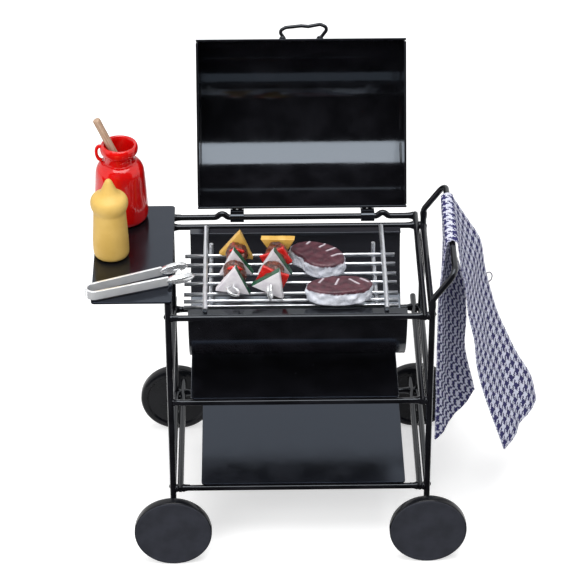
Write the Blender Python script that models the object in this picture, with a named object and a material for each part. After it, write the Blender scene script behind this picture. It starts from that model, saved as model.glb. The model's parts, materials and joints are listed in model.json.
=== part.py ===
"""A dollhouse barbecue cart: wire frame on four wheels, half-barrel firebox and lid, and its toy food.

X runs to the right of the cook, Y from the front to the back, Z up. Every length is in metres.
The lid stands open. The origin is on the floor, under the middle of the whole toy.
"""
import math

import bmesh
import bpy
from mathutils import Matrix, Vector

MM = 0.001

# Fits
GAP = 0.3 * MM
AXLE_CLEARANCE = 0.1 * MM
WELD_DEPTH = 0.2 * MM
CUT_OVERRUN = 1.0 * MM
MERGE_DISTANCE = 0.003 * MM

# Wire frame
WIRE = 1.7 * MM
FIREBOX_ROOM = 3.6 * MM
LEG_SPACING_Y = 45.0 * MM
TOP_LEVEL = 75.0 * MM
MIDDLE_LEVEL = 47.5 * MM
LOW_LEVEL = 18.5 * MM
RAIL_OVERHANG = 6.0 * MM
HINGE_SETBACK = 5.0 * MM
WIRE_BEND = 3.0 * MM

# Wheels and their bent stub axles
WHEEL_RADIUS = 10.6 * MM
WHEEL_WIDTH = 3.2 * MM
WHEEL_EDGE = 1.0 * MM
WHEEL_DISH = 0.5 * MM
WHEEL_RIM = 2.2 * MM
HUB_RADIUS = 2.4 * MM
AXLE_REACH = 8.9 * MM
AXLE_END = 0.4 * MM

# Shelves
SHEET = 0.5 * MM
SHELF_CORNER = 1.0 * MM
SHELF_SHORTER = 2.1 * MM
MIDDLE_SHELF_SHIFT = -1.4 * MM
BOTTOM_SHELF_SHIFT = 0.9 * MM
SIDE_SHELF_RISE = 5.2 * MM
SIDE_SHELF_THICKNESS = 0.6 * MM
SIDE_SHELF_WIDTH = 21.4 * MM
SIDE_SHELF_OVERHANG = 3.0 * MM
SIDE_SHELF_INNER = 1.2 * MM

# Side handle
HANDLE_OUT = 5.8 * MM
HANDLE_RISE = 9.8 * MM
HANDLE_FOOT = 1.6 * MM
RIGHT_LEG_RISE = 3.3 * MM

# Firebox and lid
FIREBOX_LENGTH = 58.3 * MM
FIREBOX_DEPTH = 23.4 * MM
FIREBOX_SHIFT = -0.6 * MM
FLANGE = 2.6 * MM
LID_SHEET = 0.6 * MM
LID_LONGER = 0.1 * MM
LID_SHIFT = 1.5 * MM
LID_FRONT_SETBACK = 0.6 * MM
LID_REAR_SETBACK = 2.2 * MM
LID_LIFT = 1.2 * MM
LID_OPEN_DEGREES = 116.0
LID_HANDLE_WIDTH = 13.2 * MM
LID_HANDLE_HEIGHT = 3.3 * MM
LID_HANDLE_WIRE = 1.0 * MM
LID_HANDLE_UP = 2.0 * MM
LID_HANDLE_BEND = 1.2 * MM
LID_HANDLE_SHIFT = 2.3 * MM
LID_HANDLE_SHARES = ((-0.42, 0.0), (-0.52, 0.55), (-0.38, 0.85), (-0.05, 0.98), (0.10, 0.92), (0.35, 1.10),
                     (0.52, 0.80), (0.36, 0.0))
STRAP_SPACING = 36.4 * MM
STRAP_WIDTH = 3.8 * MM
STRAP_SHEET = 0.5 * MM
STRAP_TAB = 4.5 * MM
STRAP_EYE_START_DEGREES = 150.0
STRAP_EYE_SWEEP_DEGREES = -285.0
STOP_HUMP = 1.1 * MM
STOP_HUMP_LENGTH = 3.2 * MM
STOP_HUMP_OFFSET = 2.3 * MM

# Grill rack
RACK_WIRE = 1.1 * MM
CARRIER_WIRE = 1.3 * MM
RACK_FRONT = 4.8 * MM
RACK_DEPTH = 25.0 * MM
RACK_BAR_SHARES = (0.0, 0.11, 0.245, 0.45, 0.62, 0.815, 1.0)
RACK_SHORTER = 1.1 * MM
RACK_SHIFT = -2.3 * MM
CARRIER_INSET_LEFT = 5.7 * MM
CARRIER_INSET_RIGHT = 3.2 * MM
CARRIER_END = 0.8 * MM
CROSS_INSET_LEFT = 7.2 * MM
CROSS_INSET_RIGHT = 5.8 * MM
CROSS_TURN_UP = 3.6 * MM
CROSS_BEND = 0.9 * MM

# Sauce jar, dip stick and mustard bottle
JAR_RADIUS = 7.4 * MM
JAR_HEIGHT = 23.0 * MM
JAR_PLACE_SHARES = (0.32, 0.885)
JAR_PROFILE_SHARES = ((0.0, 0.0), (0.88, 0.0), (0.98, 0.03), (1.0, 0.08), (0.985, 0.22), (0.955, 0.41),
                      (0.91, 0.60), (0.86, 0.68), (0.74, 0.74), (0.57, 0.785), (0.55, 0.87),
                      (0.65, 0.885), (0.69, 0.92), (0.68, 0.965), (0.61, 1.0), (0.55, 0.99),
                      (0.50, 0.96), (0.49, 0.90), (0.0, 0.90))
JAR_EAR_WIRE = 1.0 * MM
JAR_EAR_SHARES = ((0.62, 0.945), (0.80, 0.95), (0.84, 0.88), (0.78, 0.82), (0.66, 0.77))
STICK_RADIUS = 1.05 * MM
STICK_LENGTH = 15.2 * MM
STICK_SINK = 4.5 * MM
STICK_LEAN_DEGREES = 23.0
STICK_SHIFT = -1.7 * MM
BOTTLE_RADIUS = 5.2 * MM
BOTTLE_HEIGHT = 23.6 * MM
BOTTLE_PLACE_SHARES = (0.22, 0.48)
BOTTLE_PROFILE_SHARES = ((0.0, 0.0), (0.80, 0.0), (0.91, 0.03), (0.95, 0.09), (0.945, 0.20), (0.91, 0.38),
                         (0.88, 0.50), (0.865, 0.545), (0.91, 0.575), (0.97, 0.62), (0.99, 0.67),
                         (0.96, 0.725), (0.86, 0.765), (0.62, 0.80), (0.42, 0.845), (0.30, 0.90),
                         (0.20, 0.96), (0.11, 0.99), (0.0, 1.0))

# Tongs
TONGS_WIDTH = 2.5 * MM
TONGS_SHEET = 0.7 * MM
TONGS_BEND = 2.0 * MM
TONGS_SPREAD = 2.6 * MM
TONGS_LENGTH = 21.94 * MM
TONGS_JAW_LENGTH = 8.0 * MM
TONGS_JAW_WIDTH = 3.2 * MM
TONGS_JAW_HEIGHT = 2.5 * MM
TONGS_TURN_DEGREES = 21.0
TONGS_PLACE_SHARE = 0.05

# Skewers and steaks
SKEWER_WIRE = 0.8 * MM
SKEWER_RING = 1.7 * MM
SKEWER_RING_START_DEGREES = 20.0
SKEWER_RING_SWEEP_DEGREES = 300.0
SLICE_SIDE = 9.4 * MM
SLICE_THICKNESS = 1.9 * MM
MEAT_RADIUS = 3.0 * MM
MEAT_THICKNESS = 6.8 * MM
FOOD_LAP = 0.1 * MM
SKEWER_TIP = 2.2 * MM
SKEWER_TAIL = 1.3 * MM
FIRST_SKEWER_PLACE = (13.3 * MM, 8.2 * MM)
SECOND_SKEWER_PLACE = (23.1 * MM, 5.7 * MM)
FIRST_SKEWER_DEGREES = (-3.0, 1.0, 25.0)
SECOND_SKEWER_DEGREES = (-7.0, 4.0, 75.0)
FIRST_SLICE_TURNS = (-6.0, 4.0, -8.0)
SECOND_SLICE_TURNS = (-24.0, 1.0, 183.0)
STEAK_HEIGHT = 4.6 * MM
STEAK_EDGE = 1.3 * MM
STEAK_DENT_DEGREES = 235.0
STEAK_DENT_SPREAD_DEGREES = 34.4
REAR_STEAK_DENT_SHARE = 0.38
FRONT_STEAK_DENT_SHARE = 0.0
REAR_STEAK_LENGTH = 16.1 * MM
REAR_STEAK_WIDTH = 11.6 * MM
REAR_STEAK_PLACE = (35.7 * MM, 22.6 * MM)
REAR_STEAK_TURN = -28.0
FRONT_STEAK_LENGTH = 17.8 * MM
FRONT_STEAK_WIDTH = 8.6 * MM
FRONT_STEAK_PLACE = (41.6 * MM, 7.4 * MM)
FRONT_STEAK_TURN = 4.0

# Towel
TOWEL_THICKNESS = 0.8 * MM
TOWEL_WIDTH = 23.8 * MM
TOWEL_FRONT = 13.7 * MM
TOWEL_FOLD = 0.5 * MM
TOWEL_WAVES = 1.5
TOWEL_WRAP = 0.35 * MM
TOWEL_DROP = 68.0 * MM
TOWEL_INNER_DROP = 64.3 * MM
TOWEL_FLARE = 27.0 * MM
TOWEL_DROP_SHARES = (0.0, 0.1, 0.2, 0.33, 0.45, 0.6, 0.75, 0.88, 1.0)
OUTER_FRONT_SHARES = (0.0, 0.035, 0.09, 0.13, 0.20, 0.25, 0.35, 0.46, 0.56)
OUTER_REAR_SHARES = (0.0, 0.10, 0.25, 0.32, 0.42, 0.54, 0.71, 0.89, 0.96)
INNER_FRONT_SHARES = (0.0, -0.03, -0.05, -0.06, -0.06, -0.06, -0.06, -0.05, -0.05)
INNER_REAR_SHARES = (0.0, 0.03, 0.10, 0.20, 0.27, 0.295, 0.30, 0.35, 0.42)

# Roundness
WIRE_SIDES_RESOLUTION = 3
THIN_SIDES_RESOLUTION = 2
TURN_STEPS = 32
ARC_STEPS = 28
EYE_STEPS = 20
MEAT_SIDES = 14
BEND_STEPS = 5

# Places worked out from the sizes above
WIRE_RADIUS = WIRE / 2
FIREBOX_RIGHT = FIREBOX_SHIFT + FIREBOX_LENGTH / 2
LEG_X = FIREBOX_RIGHT + FIREBOX_ROOM + WIRE + GAP + WIRE_RADIUS
RAIL_X = LEG_X - WIRE - GAP
BAR_HALF = RAIL_X - WIRE_RADIUS - GAP
RAIL_REAR = LEG_SPACING_Y + RAIL_OVERHANG
HINGE_Y = LEG_SPACING_Y + HINGE_SETBACK
IN_LINE_HALF = LEG_X - WIRE_RADIUS - GAP
LEVELS = (("top", TOP_LEVEL, True), ("middle", MIDDLE_LEVEL, True), ("low", LOW_LEVEL, False))
RIGHT_LEG_TOP = TOP_LEVEL + RIGHT_LEG_RISE
HANDLE_X = LEG_X + HANDLE_OUT
HANDLE_Z = RIGHT_LEG_TOP + GAP + HANDLE_RISE
SHELF_LENGTH = FIREBOX_LENGTH - SHELF_SHORTER
SIDE_SHELF_HEIGHT = TOP_LEVEL + SIDE_SHELF_RISE
SHELF_TOP = SIDE_SHELF_HEIGHT + SIDE_SHELF_THICKNESS
SHELF_RIGHT = -LEG_X + SIDE_SHELF_INNER
SHELF_LEFT = SHELF_RIGHT - SIDE_SHELF_WIDTH
SHELF_FRONT = -WIRE_RADIUS
SHELF_DEPTH = LEG_SPACING_Y + SIDE_SHELF_OVERHANG
FIREBOX_HALF_WIDTH = LEG_SPACING_Y / 2 - WIRE_RADIUS - GAP
FLANGE_TOP = TOP_LEVEL + SHEET / 2
CARRIER_Z = FLANGE_TOP + GAP + CARRIER_WIRE / 2
RACK_BAR_Z = CARRIER_Z - CARRIER_WIRE / 2 - RACK_WIRE / 2 + WELD_DEPTH
RACK_TOP = RACK_BAR_Z + RACK_WIRE / 2
RACK_BAR_LENGTH = FIREBOX_LENGTH - RACK_SHORTER
RACK_LEFT = RACK_SHIFT - RACK_BAR_LENGTH / 2
RACK_RIGHT = RACK_SHIFT + RACK_BAR_LENGTH / 2
FOOD_Z = RACK_TOP + GAP
LID_RADIUS = (HINGE_Y - LID_REAR_SETBACK - LID_FRONT_SETBACK) / 2
LID_CENTRE_Y = LID_FRONT_SETBACK + LID_RADIUS
LID_RIM_Z = TOP_LEVEL + LID_LIFT
LID_LENGTH = FIREBOX_LENGTH + LID_LONGER
LID_LEFT = LID_SHIFT - LID_LENGTH / 2
LID_RIGHT = LID_SHIFT + LID_LENGTH / 2


def clear_scene():
    """Remove whatever the file holds already."""
    for obj in list(bpy.data.objects):
        bpy.data.objects.remove(obj, do_unlink=True)


def finish(name, colour, roughness, metallic):
    """Make a plain material."""
    mat = bpy.data.materials.new(name)
    mat.use_nodes = True
    shader = mat.node_tree.nodes["Principled BSDF"]
    shader.inputs["Base Color"].default_value = (*colour, 1.0)
    shader.inputs["Roughness"].default_value = roughness
    shader.inputs["Metallic"].default_value = metallic
    mat.diffuse_color = (*colour, 1.0)
    return mat


def add_mesh(name, bm, mat, smooth_degrees=40.0):
    """Turn a bmesh into a named object with one material."""
    bmesh.ops.recalc_face_normals(bm, faces=bm.faces)
    mesh = bpy.data.meshes.new(name)
    bm.to_mesh(mesh)
    bm.free()
    mesh.shade_smooth()
    mesh.set_sharp_from_angle(angle=math.radians(smooth_degrees))
    mesh.materials.append(mat)
    obj = bpy.data.objects.new(name, mesh)
    bpy.context.scene.collection.objects.link(obj)
    return obj


def rounded(points, radius, steps=BEND_STEPS):
    """Round the inner corners of a path with arcs of one radius."""
    points = [Vector(p) for p in points]
    path = [points[0]]
    for before, corner, after in zip(points, points[1:], points[2:]):
        to_before = (before - corner).normalized()
        to_after = (after - corner).normalized()
        half = to_before.angle(to_after) / 2
        reach = min(radius / math.tan(half), (before - corner).length / 2, (after - corner).length / 2)
        arc_radius = reach * math.tan(half)
        centre = corner + (to_before + to_after).normalized() * (arc_radius / math.sin(half))
        start = corner + to_before * reach - centre
        end = corner + to_after * reach - centre
        sweep = start.angle(end)
        for step in range(steps + 1):
            share = step / steps
            spoke = start * math.sin((1 - share) * sweep) + end * math.sin(share * sweep)
            path.append(centre + spoke / math.sin(sweep))
    path.append(points[-1])
    return path


def wire(name, points, diameter, mat, resolution=WIRE_SIDES_RESOLUTION):
    """Make a round wire along a path, closed at both ends."""
    curve = bpy.data.curves.new(name, "CURVE")
    curve.dimensions = "3D"
    curve.bevel_depth = diameter / 2
    curve.bevel_resolution = resolution
    curve.use_fill_caps = True
    spline = curve.splines.new("POLY")
    spline.points.add(len(points) - 1)
    for slot, point in zip(spline.points, points):
        slot.co = (*point, 1.0)
    curve.materials.append(mat)
    obj = bpy.data.objects.new(name, curve)
    bpy.context.scene.collection.objects.link(obj)
    return obj


def plate(name, low, high, corner, mat):
    """Make a flat plate with rounded upright corners."""
    bm = bmesh.new()
    bmesh.ops.create_cube(bm, size=1.0)
    size = Vector(high) - Vector(low)
    middle = (Vector(high) + Vector(low)) / 2
    bmesh.ops.scale(bm, vec=size, verts=bm.verts)
    bmesh.ops.translate(bm, vec=middle, verts=bm.verts)
    upright = [e for e in bm.edges if abs(e.verts[0].co.z - e.verts[1].co.z) > size.z / 2]
    bmesh.ops.bevel(bm, geom=upright, offset=corner, segments=3, profile=0.5, affect="EDGES")
    return add_mesh(name, bm, mat)


def bent_sheet(name, path, thickness, left, right, mat):
    """Sweep a bent sheet's section, given as (y, z) points on its outer side, from left to right.

    The sheet's thickness lies to the left of the path as it is walked.
    """
    outer = [Vector(p) for p in path]
    inner = []
    for i, point in enumerate(outer):
        before = outer[i] - outer[i - 1] if i > 0 else outer[1] - outer[0]
        after = outer[i + 1] - outer[i] if i + 1 < len(outer) else before
        normal_a = Vector((-before.y, before.x)).normalized()
        normal_b = Vector((-after.y, after.x)).normalized()
        mitre = (normal_a + normal_b).normalized()
        inner.append(point + mitre * thickness / mitre.dot(normal_a))
    bm = bmesh.new()
    rows = []
    for x in (left, right):
        rows.append([bm.verts.new((x, p.x, p.y)) for p in outer + inner[::-1]])
    count = len(rows[0])
    for i in range(count):
        j = (i + 1) % count
        bm.faces.new((rows[0][i], rows[0][j], rows[1][j], rows[1][i]))
    for row in rows:
        for i in range(len(outer) - 1):
            bm.faces.new((row[i], row[i + 1], row[count - 2 - i], row[count - 1 - i]))
    return add_mesh(name, bm, mat)


def turned(name, profile, mat, steps=TURN_STEPS):
    """Turn a closed (radius, height) profile round the Z axis."""
    bm = bmesh.new()
    ring = [bm.verts.new((r, 0.0, z)) for r, z in profile]
    edges = [bm.edges.new((a, b)) for a, b in zip(ring, ring[1:])]
    if profile[0][0] > 0.0:
        edges.append(bm.edges.new((ring[-1], ring[0])))
    bmesh.ops.spin(bm, geom=ring + edges, cent=(0, 0, 0), axis=(0, 0, 1), angle=math.tau,
                   steps=steps, use_merge=True)
    bmesh.ops.remove_doubles(bm, verts=bm.verts, dist=MERGE_DISTANCE)
    bmesh.ops.dissolve_degenerate(bm, edges=bm.edges, dist=MERGE_DISTANCE)
    return add_mesh(name, bm, mat)


def extruded(loop, shift):
    """Return a bmesh of the solid that a flat loop of points sweeps when it moves by a vector."""
    bm = bmesh.new()
    face = bm.faces.new([bm.verts.new(point) for point in loop])
    moved = bmesh.ops.extrude_face_region(bm, geom=[face])["geom"]
    far = [v for v in moved if isinstance(v, bmesh.types.BMVert)]
    bmesh.ops.translate(bm, vec=shift, verts=far)
    return bm


def slice_of(outline, low, thickness):
    """Return a bmesh of an (x, z) outline that starts at y = low."""
    return extruded([(x, low, z) for x, z in outline], (0, thickness, 0))


def joined(target, operands, operation):
    """Apply exact Booleans to the target and delete the operands."""
    for operand in operands:
        modifier = target.modifiers.new(operation.lower(), "BOOLEAN")
        modifier.operation = operation
        modifier.solver = "EXACT"
        modifier.object = operand
    view = bpy.context.evaluated_depsgraph_get()
    view.update()
    mesh = bpy.data.meshes.new_from_object(target.evaluated_get(view))
    target.modifiers.clear()
    target.data = mesh
    for operand in operands:
        bpy.data.objects.remove(operand, do_unlink=True)
    return target


def as_mesh(obj):
    """Replace a curve object by a mesh object of the same name, with its end caps sewn on."""
    view = bpy.context.evaluated_depsgraph_get()
    view.update()
    bm = bmesh.new()
    bm.from_mesh(bpy.data.meshes.new_from_object(obj.evaluated_get(view)))
    bmesh.ops.remove_doubles(bm, verts=bm.verts, dist=MERGE_DISTANCE)
    name, mat = obj.name, obj.data.materials[0]
    bpy.data.objects.remove(obj, do_unlink=True)
    return add_mesh(name, bm, mat)


def side_name(side):
    """Name the left or right side."""
    return "left" if side < 0 else "right"


def build_frame(mats):
    """Legs that end in stub axles, braces, shelf rails and crossbars."""
    black = mats["black"]
    ends = (("front", 0.0, -1), ("rear", LEG_SPACING_Y, 1))
    reach = WIRE_RADIUS + GAP
    for side in (-1, 1):
        leg_top = SIDE_SHELF_HEIGHT - GAP if side < 0 else RIGHT_LEG_TOP
        for end, y, outward in ends:
            tip = y + outward * (AXLE_REACH + WHEEL_WIDTH / 2 + AXLE_END)
            path = rounded([(side * LEG_X, y, leg_top), (side * LEG_X, y, WHEEL_RADIUS),
                            (side * LEG_X, tip, WHEEL_RADIUS)], WIRE_BEND)
            wire(f"{end}_{side_name(side)}_leg", path, WIRE, black)
        for level, z, left_in_line in LEVELS:
            in_line = left_in_line and side < 0
            wire(f"{side_name(side)}_{level}_brace",
                 [(side * LEG_X, reach, z), (side * LEG_X, LEG_SPACING_Y - reach, z)], WIRE, black)
            start = (-LEG_X, LEG_SPACING_Y + reach, z) if in_line else (side * RAIL_X, -WIRE_RADIUS, z)
            wire(f"{side_name(side)}_{level}_rail", [start, (start[0], RAIL_REAR, z)], WIRE, black)
    for end, y, _ in ends:
        for level, z, left_in_line in LEVELS:
            left = -IN_LINE_HALF if left_in_line else -BAR_HALF
            wire(f"{end}_{level}_bar", [(left, y, z), (BAR_HALF, y, z)], WIRE, black)


def build_hinge_rod(mats):
    """The rod that the lid turns on, with a hump outside each strap that keeps the lid in place."""
    points = [(-IN_LINE_HALF, HINGE_Y, TOP_LEVEL)]
    for side in (-1, 1):
        hump = LID_SHIFT + side * (STRAP_SPACING / 2 + STRAP_WIDTH / 2 + STOP_HUMP_OFFSET)
        for share, height in ((-1.0, 0.0), (-0.3, STOP_HUMP), (0.3, STOP_HUMP), (1.0, 0.0)):
            points.append((hump + share * STOP_HUMP_LENGTH / 2, HINGE_Y, TOP_LEVEL + height))
    points.append((BAR_HALF, HINGE_Y, TOP_LEVEL))
    wire("hinge_rod", rounded(points, WIRE_BEND / 2, 3), WIRE, mats["black"])


def build_handle(mats):
    """The bent wire on the right side that the towel hangs on."""
    foot = RIGHT_LEG_TOP + GAP
    points = [(LEG_X, 0.0, foot), (LEG_X, 0.0, foot + HANDLE_FOOT), (HANDLE_X, 0.0, HANDLE_Z),
              (HANDLE_X, LEG_SPACING_Y, HANDLE_Z), (LEG_X, LEG_SPACING_Y, foot + HANDLE_FOOT),
              (LEG_X, LEG_SPACING_Y, foot)]
    wire("side_handle", rounded(points, WIRE_BEND), WIRE, mats["black"])


def build_shelves(mats):
    """The two plates inside the frame and the plate on the left side."""
    rear = LEG_SPACING_Y + WIRE_RADIUS
    for name, level, shift in (("middle_shelf", MIDDLE_LEVEL, MIDDLE_SHELF_SHIFT),
                               ("bottom_shelf", LOW_LEVEL, BOTTOM_SHELF_SHIFT)):
        low = level + WIRE_RADIUS + GAP
        plate(name, (shift - SHELF_LENGTH / 2, -WIRE_RADIUS / 2, low),
              (shift + SHELF_LENGTH / 2, rear, low + SHEET), SHELF_CORNER, mats["black"])
    plate("side_shelf", (SHELF_LEFT, SHELF_FRONT, SIDE_SHELF_HEIGHT),
          (SHELF_RIGHT, SHELF_FRONT + SHELF_DEPTH, SHELF_TOP), SHELF_CORNER, mats["black"])


def build_firebox(mats):
    """The open-ended half barrel, with a flange folded in along each long edge."""
    centre = LEG_SPACING_Y / 2
    path = [(centre - FIREBOX_HALF_WIDTH + FLANGE, FLANGE_TOP)]
    for step in range(ARC_STEPS + 1):
        angle = math.pi * step / ARC_STEPS
        drop = math.sin(angle) * FIREBOX_DEPTH
        path.append((centre - FIREBOX_HALF_WIDTH * math.cos(angle), FLANGE_TOP - drop))
    path.append((centre + FIREBOX_HALF_WIDTH - FLANGE, FLANGE_TOP))
    bent_sheet("firebox", path, SHEET, FIREBOX_RIGHT - FIREBOX_LENGTH, FIREBOX_RIGHT, mats["black"])


def opened(point):
    """Carry a (y, z) point of the closed lid to the open lid."""
    angle = math.radians(LID_OPEN_DEGREES)
    forward = HINGE_Y - point[0]
    up = point[1] - TOP_LEVEL
    return (HINGE_Y - forward * math.cos(angle) + up * math.sin(angle),
            TOP_LEVEL + forward * math.sin(angle) + up * math.cos(angle))


def lid_point(radius, angle):
    """Return the closed lid's (y, z) point at an angle, 0 at its rear edge and pi at its front edge."""
    return (LID_CENTRE_Y + radius * math.cos(angle), LID_RIM_Z + radius * math.sin(angle))


def build_lid(mats):
    """The half-barrel lid with its two end plates."""
    path = [opened(lid_point(LID_RADIUS, math.pi * i / ARC_STEPS)) for i in range(ARC_STEPS + 1)]
    bent_sheet("lid_shell", path, LID_SHEET, LID_LEFT, LID_RIGHT, mats["black"])
    inner = LID_RADIUS - LID_SHEET - GAP
    rim = [opened(lid_point(inner, math.pi * i / ARC_STEPS)) for i in range(ARC_STEPS + 1)]
    for name, low in (("lid_left_end", LID_LEFT), ("lid_right_end", LID_RIGHT - LID_SHEET)):
        add_mesh(name, extruded([(low, y, z) for y, z in rim], (LID_SHEET, 0, 0)), mats["black"])


def build_lid_handle(mats):
    """The hand-bent wire bail that stands out of the lid near its front edge."""
    angle = math.pi - LID_HANDLE_UP / LID_RADIUS
    foot = LID_RADIUS + GAP
    points = []
    for across, out in LID_HANDLE_SHARES:
        y, z = opened(lid_point(foot + out * LID_HANDLE_HEIGHT, angle))
        points.append((LID_HANDLE_SHIFT + across * LID_HANDLE_WIDTH, y, z))
    wire("lid_handle", rounded(points, LID_HANDLE_BEND), LID_HANDLE_WIRE, mats["black"],
         THIN_SIDES_RESOLUTION)


def strap_outline():
    """Return the closed lid's strap as (y, z) points: a tab that ends in an eye round the rod."""
    eye_inner = WIRE_RADIUS + AXLE_CLEARANCE
    eye_outer = eye_inner + STRAP_SHEET
    back = LID_RADIUS + GAP
    rise = STRAP_TAB / back
    tab_out = [lid_point(back + STRAP_SHEET, rise * i / 4) for i in range(5)]
    tab_in = [lid_point(back, rise * i / 4) for i in range(4, -1, -1)]
    eye = []
    for i in range(EYE_STEPS + 1):
        angle = math.radians(STRAP_EYE_START_DEGREES + STRAP_EYE_SWEEP_DEGREES * i / EYE_STEPS)
        eye.append((HINGE_Y + eye_outer * math.cos(angle), TOP_LEVEL + eye_outer * math.sin(angle)))
    return eye, eye_inner, tab_out, tab_in


def build_straps(mats):
    """The two sheet straps that hang the lid on the rod."""
    eye, eye_inner, tab_out, tab_in = strap_outline()
    outline = [opened(p) for p in eye[::-1] + tab_out + tab_in]
    hole = [opened((HINGE_Y + eye_inner * math.cos(a), TOP_LEVEL + eye_inner * math.sin(a)))
            for a in (math.tau * i / 16 for i in range(16))]
    for side in (-1, 1):
        low = LID_SHIFT + side * STRAP_SPACING / 2 - STRAP_WIDTH / 2
        bodies = []
        for name, loop, overrun in ((f"{side_name(side)}_strap", outline, 0.0),
                                    ("strap_cut", hole, CUT_OVERRUN)):
            bm = extruded([(low - overrun, y, z) for y, z in loop], (STRAP_WIDTH + 2 * overrun, 0, 0))
            bodies.append(add_mesh(name, bm, mats["black"]))
        joined(bodies[0], bodies[1:], "DIFFERENCE")


def build_wheels(mats):
    """Four solid wheels, each with its origin on its axle."""
    half = WHEEL_WIDTH / 2
    bore = WIRE_RADIUS + AXLE_CLEARANCE
    face = half - WHEEL_DISH
    tread = WHEEL_RADIUS
    profile = [(bore, -half), (HUB_RADIUS, -half), (HUB_RADIUS + WHEEL_DISH, -face)]
    profile += [(tread - WHEEL_RIM, -face), (tread - WHEEL_RIM + WHEEL_DISH, -half)]
    for i in range(4):
        angle = math.radians(-90.0 + 90.0 * i / 3)
        profile.append((tread - WHEEL_EDGE + WHEEL_EDGE * math.cos(angle),
                        -half + WHEEL_EDGE + WHEEL_EDGE * math.sin(angle)))
    profile += [(r, -z) for r, z in profile[::-1]]
    for end, y, outward in (("front", 0.0, -1), ("rear", LEG_SPACING_Y, 1)):
        for side in (-1, 1):
            wheel = turned(f"{end}_{side_name(side)}_wheel", profile, mats["tyre"])
            wheel.matrix_world = (Matrix.Translation((side * LEG_X, y + outward * AXLE_REACH, WHEEL_RADIUS))
                                  @ Matrix.Rotation(math.radians(90.0), 4, "X"))


def build_rack(mats):
    """The chrome rack: bars along X, welded under two carriers and over two cross wires."""
    bars = []
    last = RACK_FRONT + RACK_DEPTH
    for share in RACK_BAR_SHARES:
        y = RACK_FRONT + share * RACK_DEPTH
        bars.append(as_mesh(wire("bar", [(RACK_LEFT, y, RACK_BAR_Z), (RACK_RIGHT, y, RACK_BAR_Z)], RACK_WIRE,
                                 mats["chrome"], THIN_SIDES_RESOLUTION)))
    front = LEG_SPACING_Y / 2 - FIREBOX_HALF_WIDTH + CARRIER_END
    for x in (RACK_LEFT + CARRIER_INSET_LEFT, RACK_RIGHT - CARRIER_INSET_RIGHT):
        bars.append(as_mesh(wire("carrier", [(x, front, CARRIER_Z), (x, LEG_SPACING_Y - front, CARRIER_Z)],
                                 CARRIER_WIRE, mats["chrome"], THIN_SIDES_RESOLUTION)))
    cross_z = RACK_BAR_Z - RACK_WIRE + WELD_DEPTH
    start = front + FLANGE
    for x in (RACK_LEFT + CROSS_INSET_LEFT, RACK_RIGHT - CROSS_INSET_RIGHT):
        points = [(x, start, cross_z), (x, last + RACK_WIRE + CROSS_BEND, cross_z),
                  (x, last + RACK_WIRE + CROSS_BEND, cross_z + CROSS_TURN_UP)]
        bars.append(as_mesh(wire("cross", rounded(points, CROSS_BEND, 3), RACK_WIRE, mats["chrome"],
                                 THIN_SIDES_RESOLUTION)))
    rack = joined(bars[0], bars[1:], "UNION")
    rack.name = "grill_rack"
    rack.data.name = "grill_rack"


def shelf_place(shares):
    """Return the (x, y) place on the side shelf at a share of its width and depth."""
    return SHELF_LEFT + shares[0] * SIDE_SHELF_WIDTH, SHELF_FRONT + shares[1] * SHELF_DEPTH


def build_jar(mats):
    """The filled sauce jar with a dip stick standing in it."""
    x, y = shelf_place(JAR_PLACE_SHARES)
    base = Vector((x, y, SHELF_TOP + GAP))
    profile = [(r * JAR_RADIUS, z * JAR_HEIGHT) for r, z in JAR_PROFILE_SHARES]
    jar = turned("sauce_jar", profile, mats["jar"])
    jar.data.transform(Matrix.Translation(base))
    lean_angle = math.radians(STICK_LEAN_DEGREES)
    lean = Vector((-math.sin(lean_angle), 0.0, math.cos(lean_angle)))
    level = base + Vector((STICK_SHIFT, 0.0, JAR_PROFILE_SHARES[-1][1] * JAR_HEIGHT))
    foot = level - lean * STICK_SINK
    wire("dip_stick", [foot, foot + lean * STICK_LENGTH], 2 * STICK_RADIUS, mats["stick"])
    cutter = as_mesh(wire("socket", [foot - lean * GAP, level + lean * CUT_OVERRUN],
                          2 * (STICK_RADIUS + GAP), mats["jar"]))
    ear_points = [base + Vector((-r * JAR_RADIUS, 0.0, h * JAR_HEIGHT)) for r, h in JAR_EAR_SHARES]
    ear = as_mesh(wire("ear", rounded(ear_points, JAR_EAR_WIRE), JAR_EAR_WIRE, mats["jar"],
                       THIN_SIDES_RESOLUTION))
    joined(jar, [ear], "UNION")
    joined(jar, [cutter], "DIFFERENCE")


def build_bottle(mats):
    """The mustard bottle with its nozzle cap."""
    x, y = shelf_place(BOTTLE_PLACE_SHARES)
    profile = [(r * BOTTLE_RADIUS, z * BOTTLE_HEIGHT) for r, z in BOTTLE_PROFILE_SHARES]
    bottle = turned("mustard_bottle", profile, mats["mustard"])
    bottle.data.transform(Matrix.Translation((x, y, SHELF_TOP + GAP)))


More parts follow.
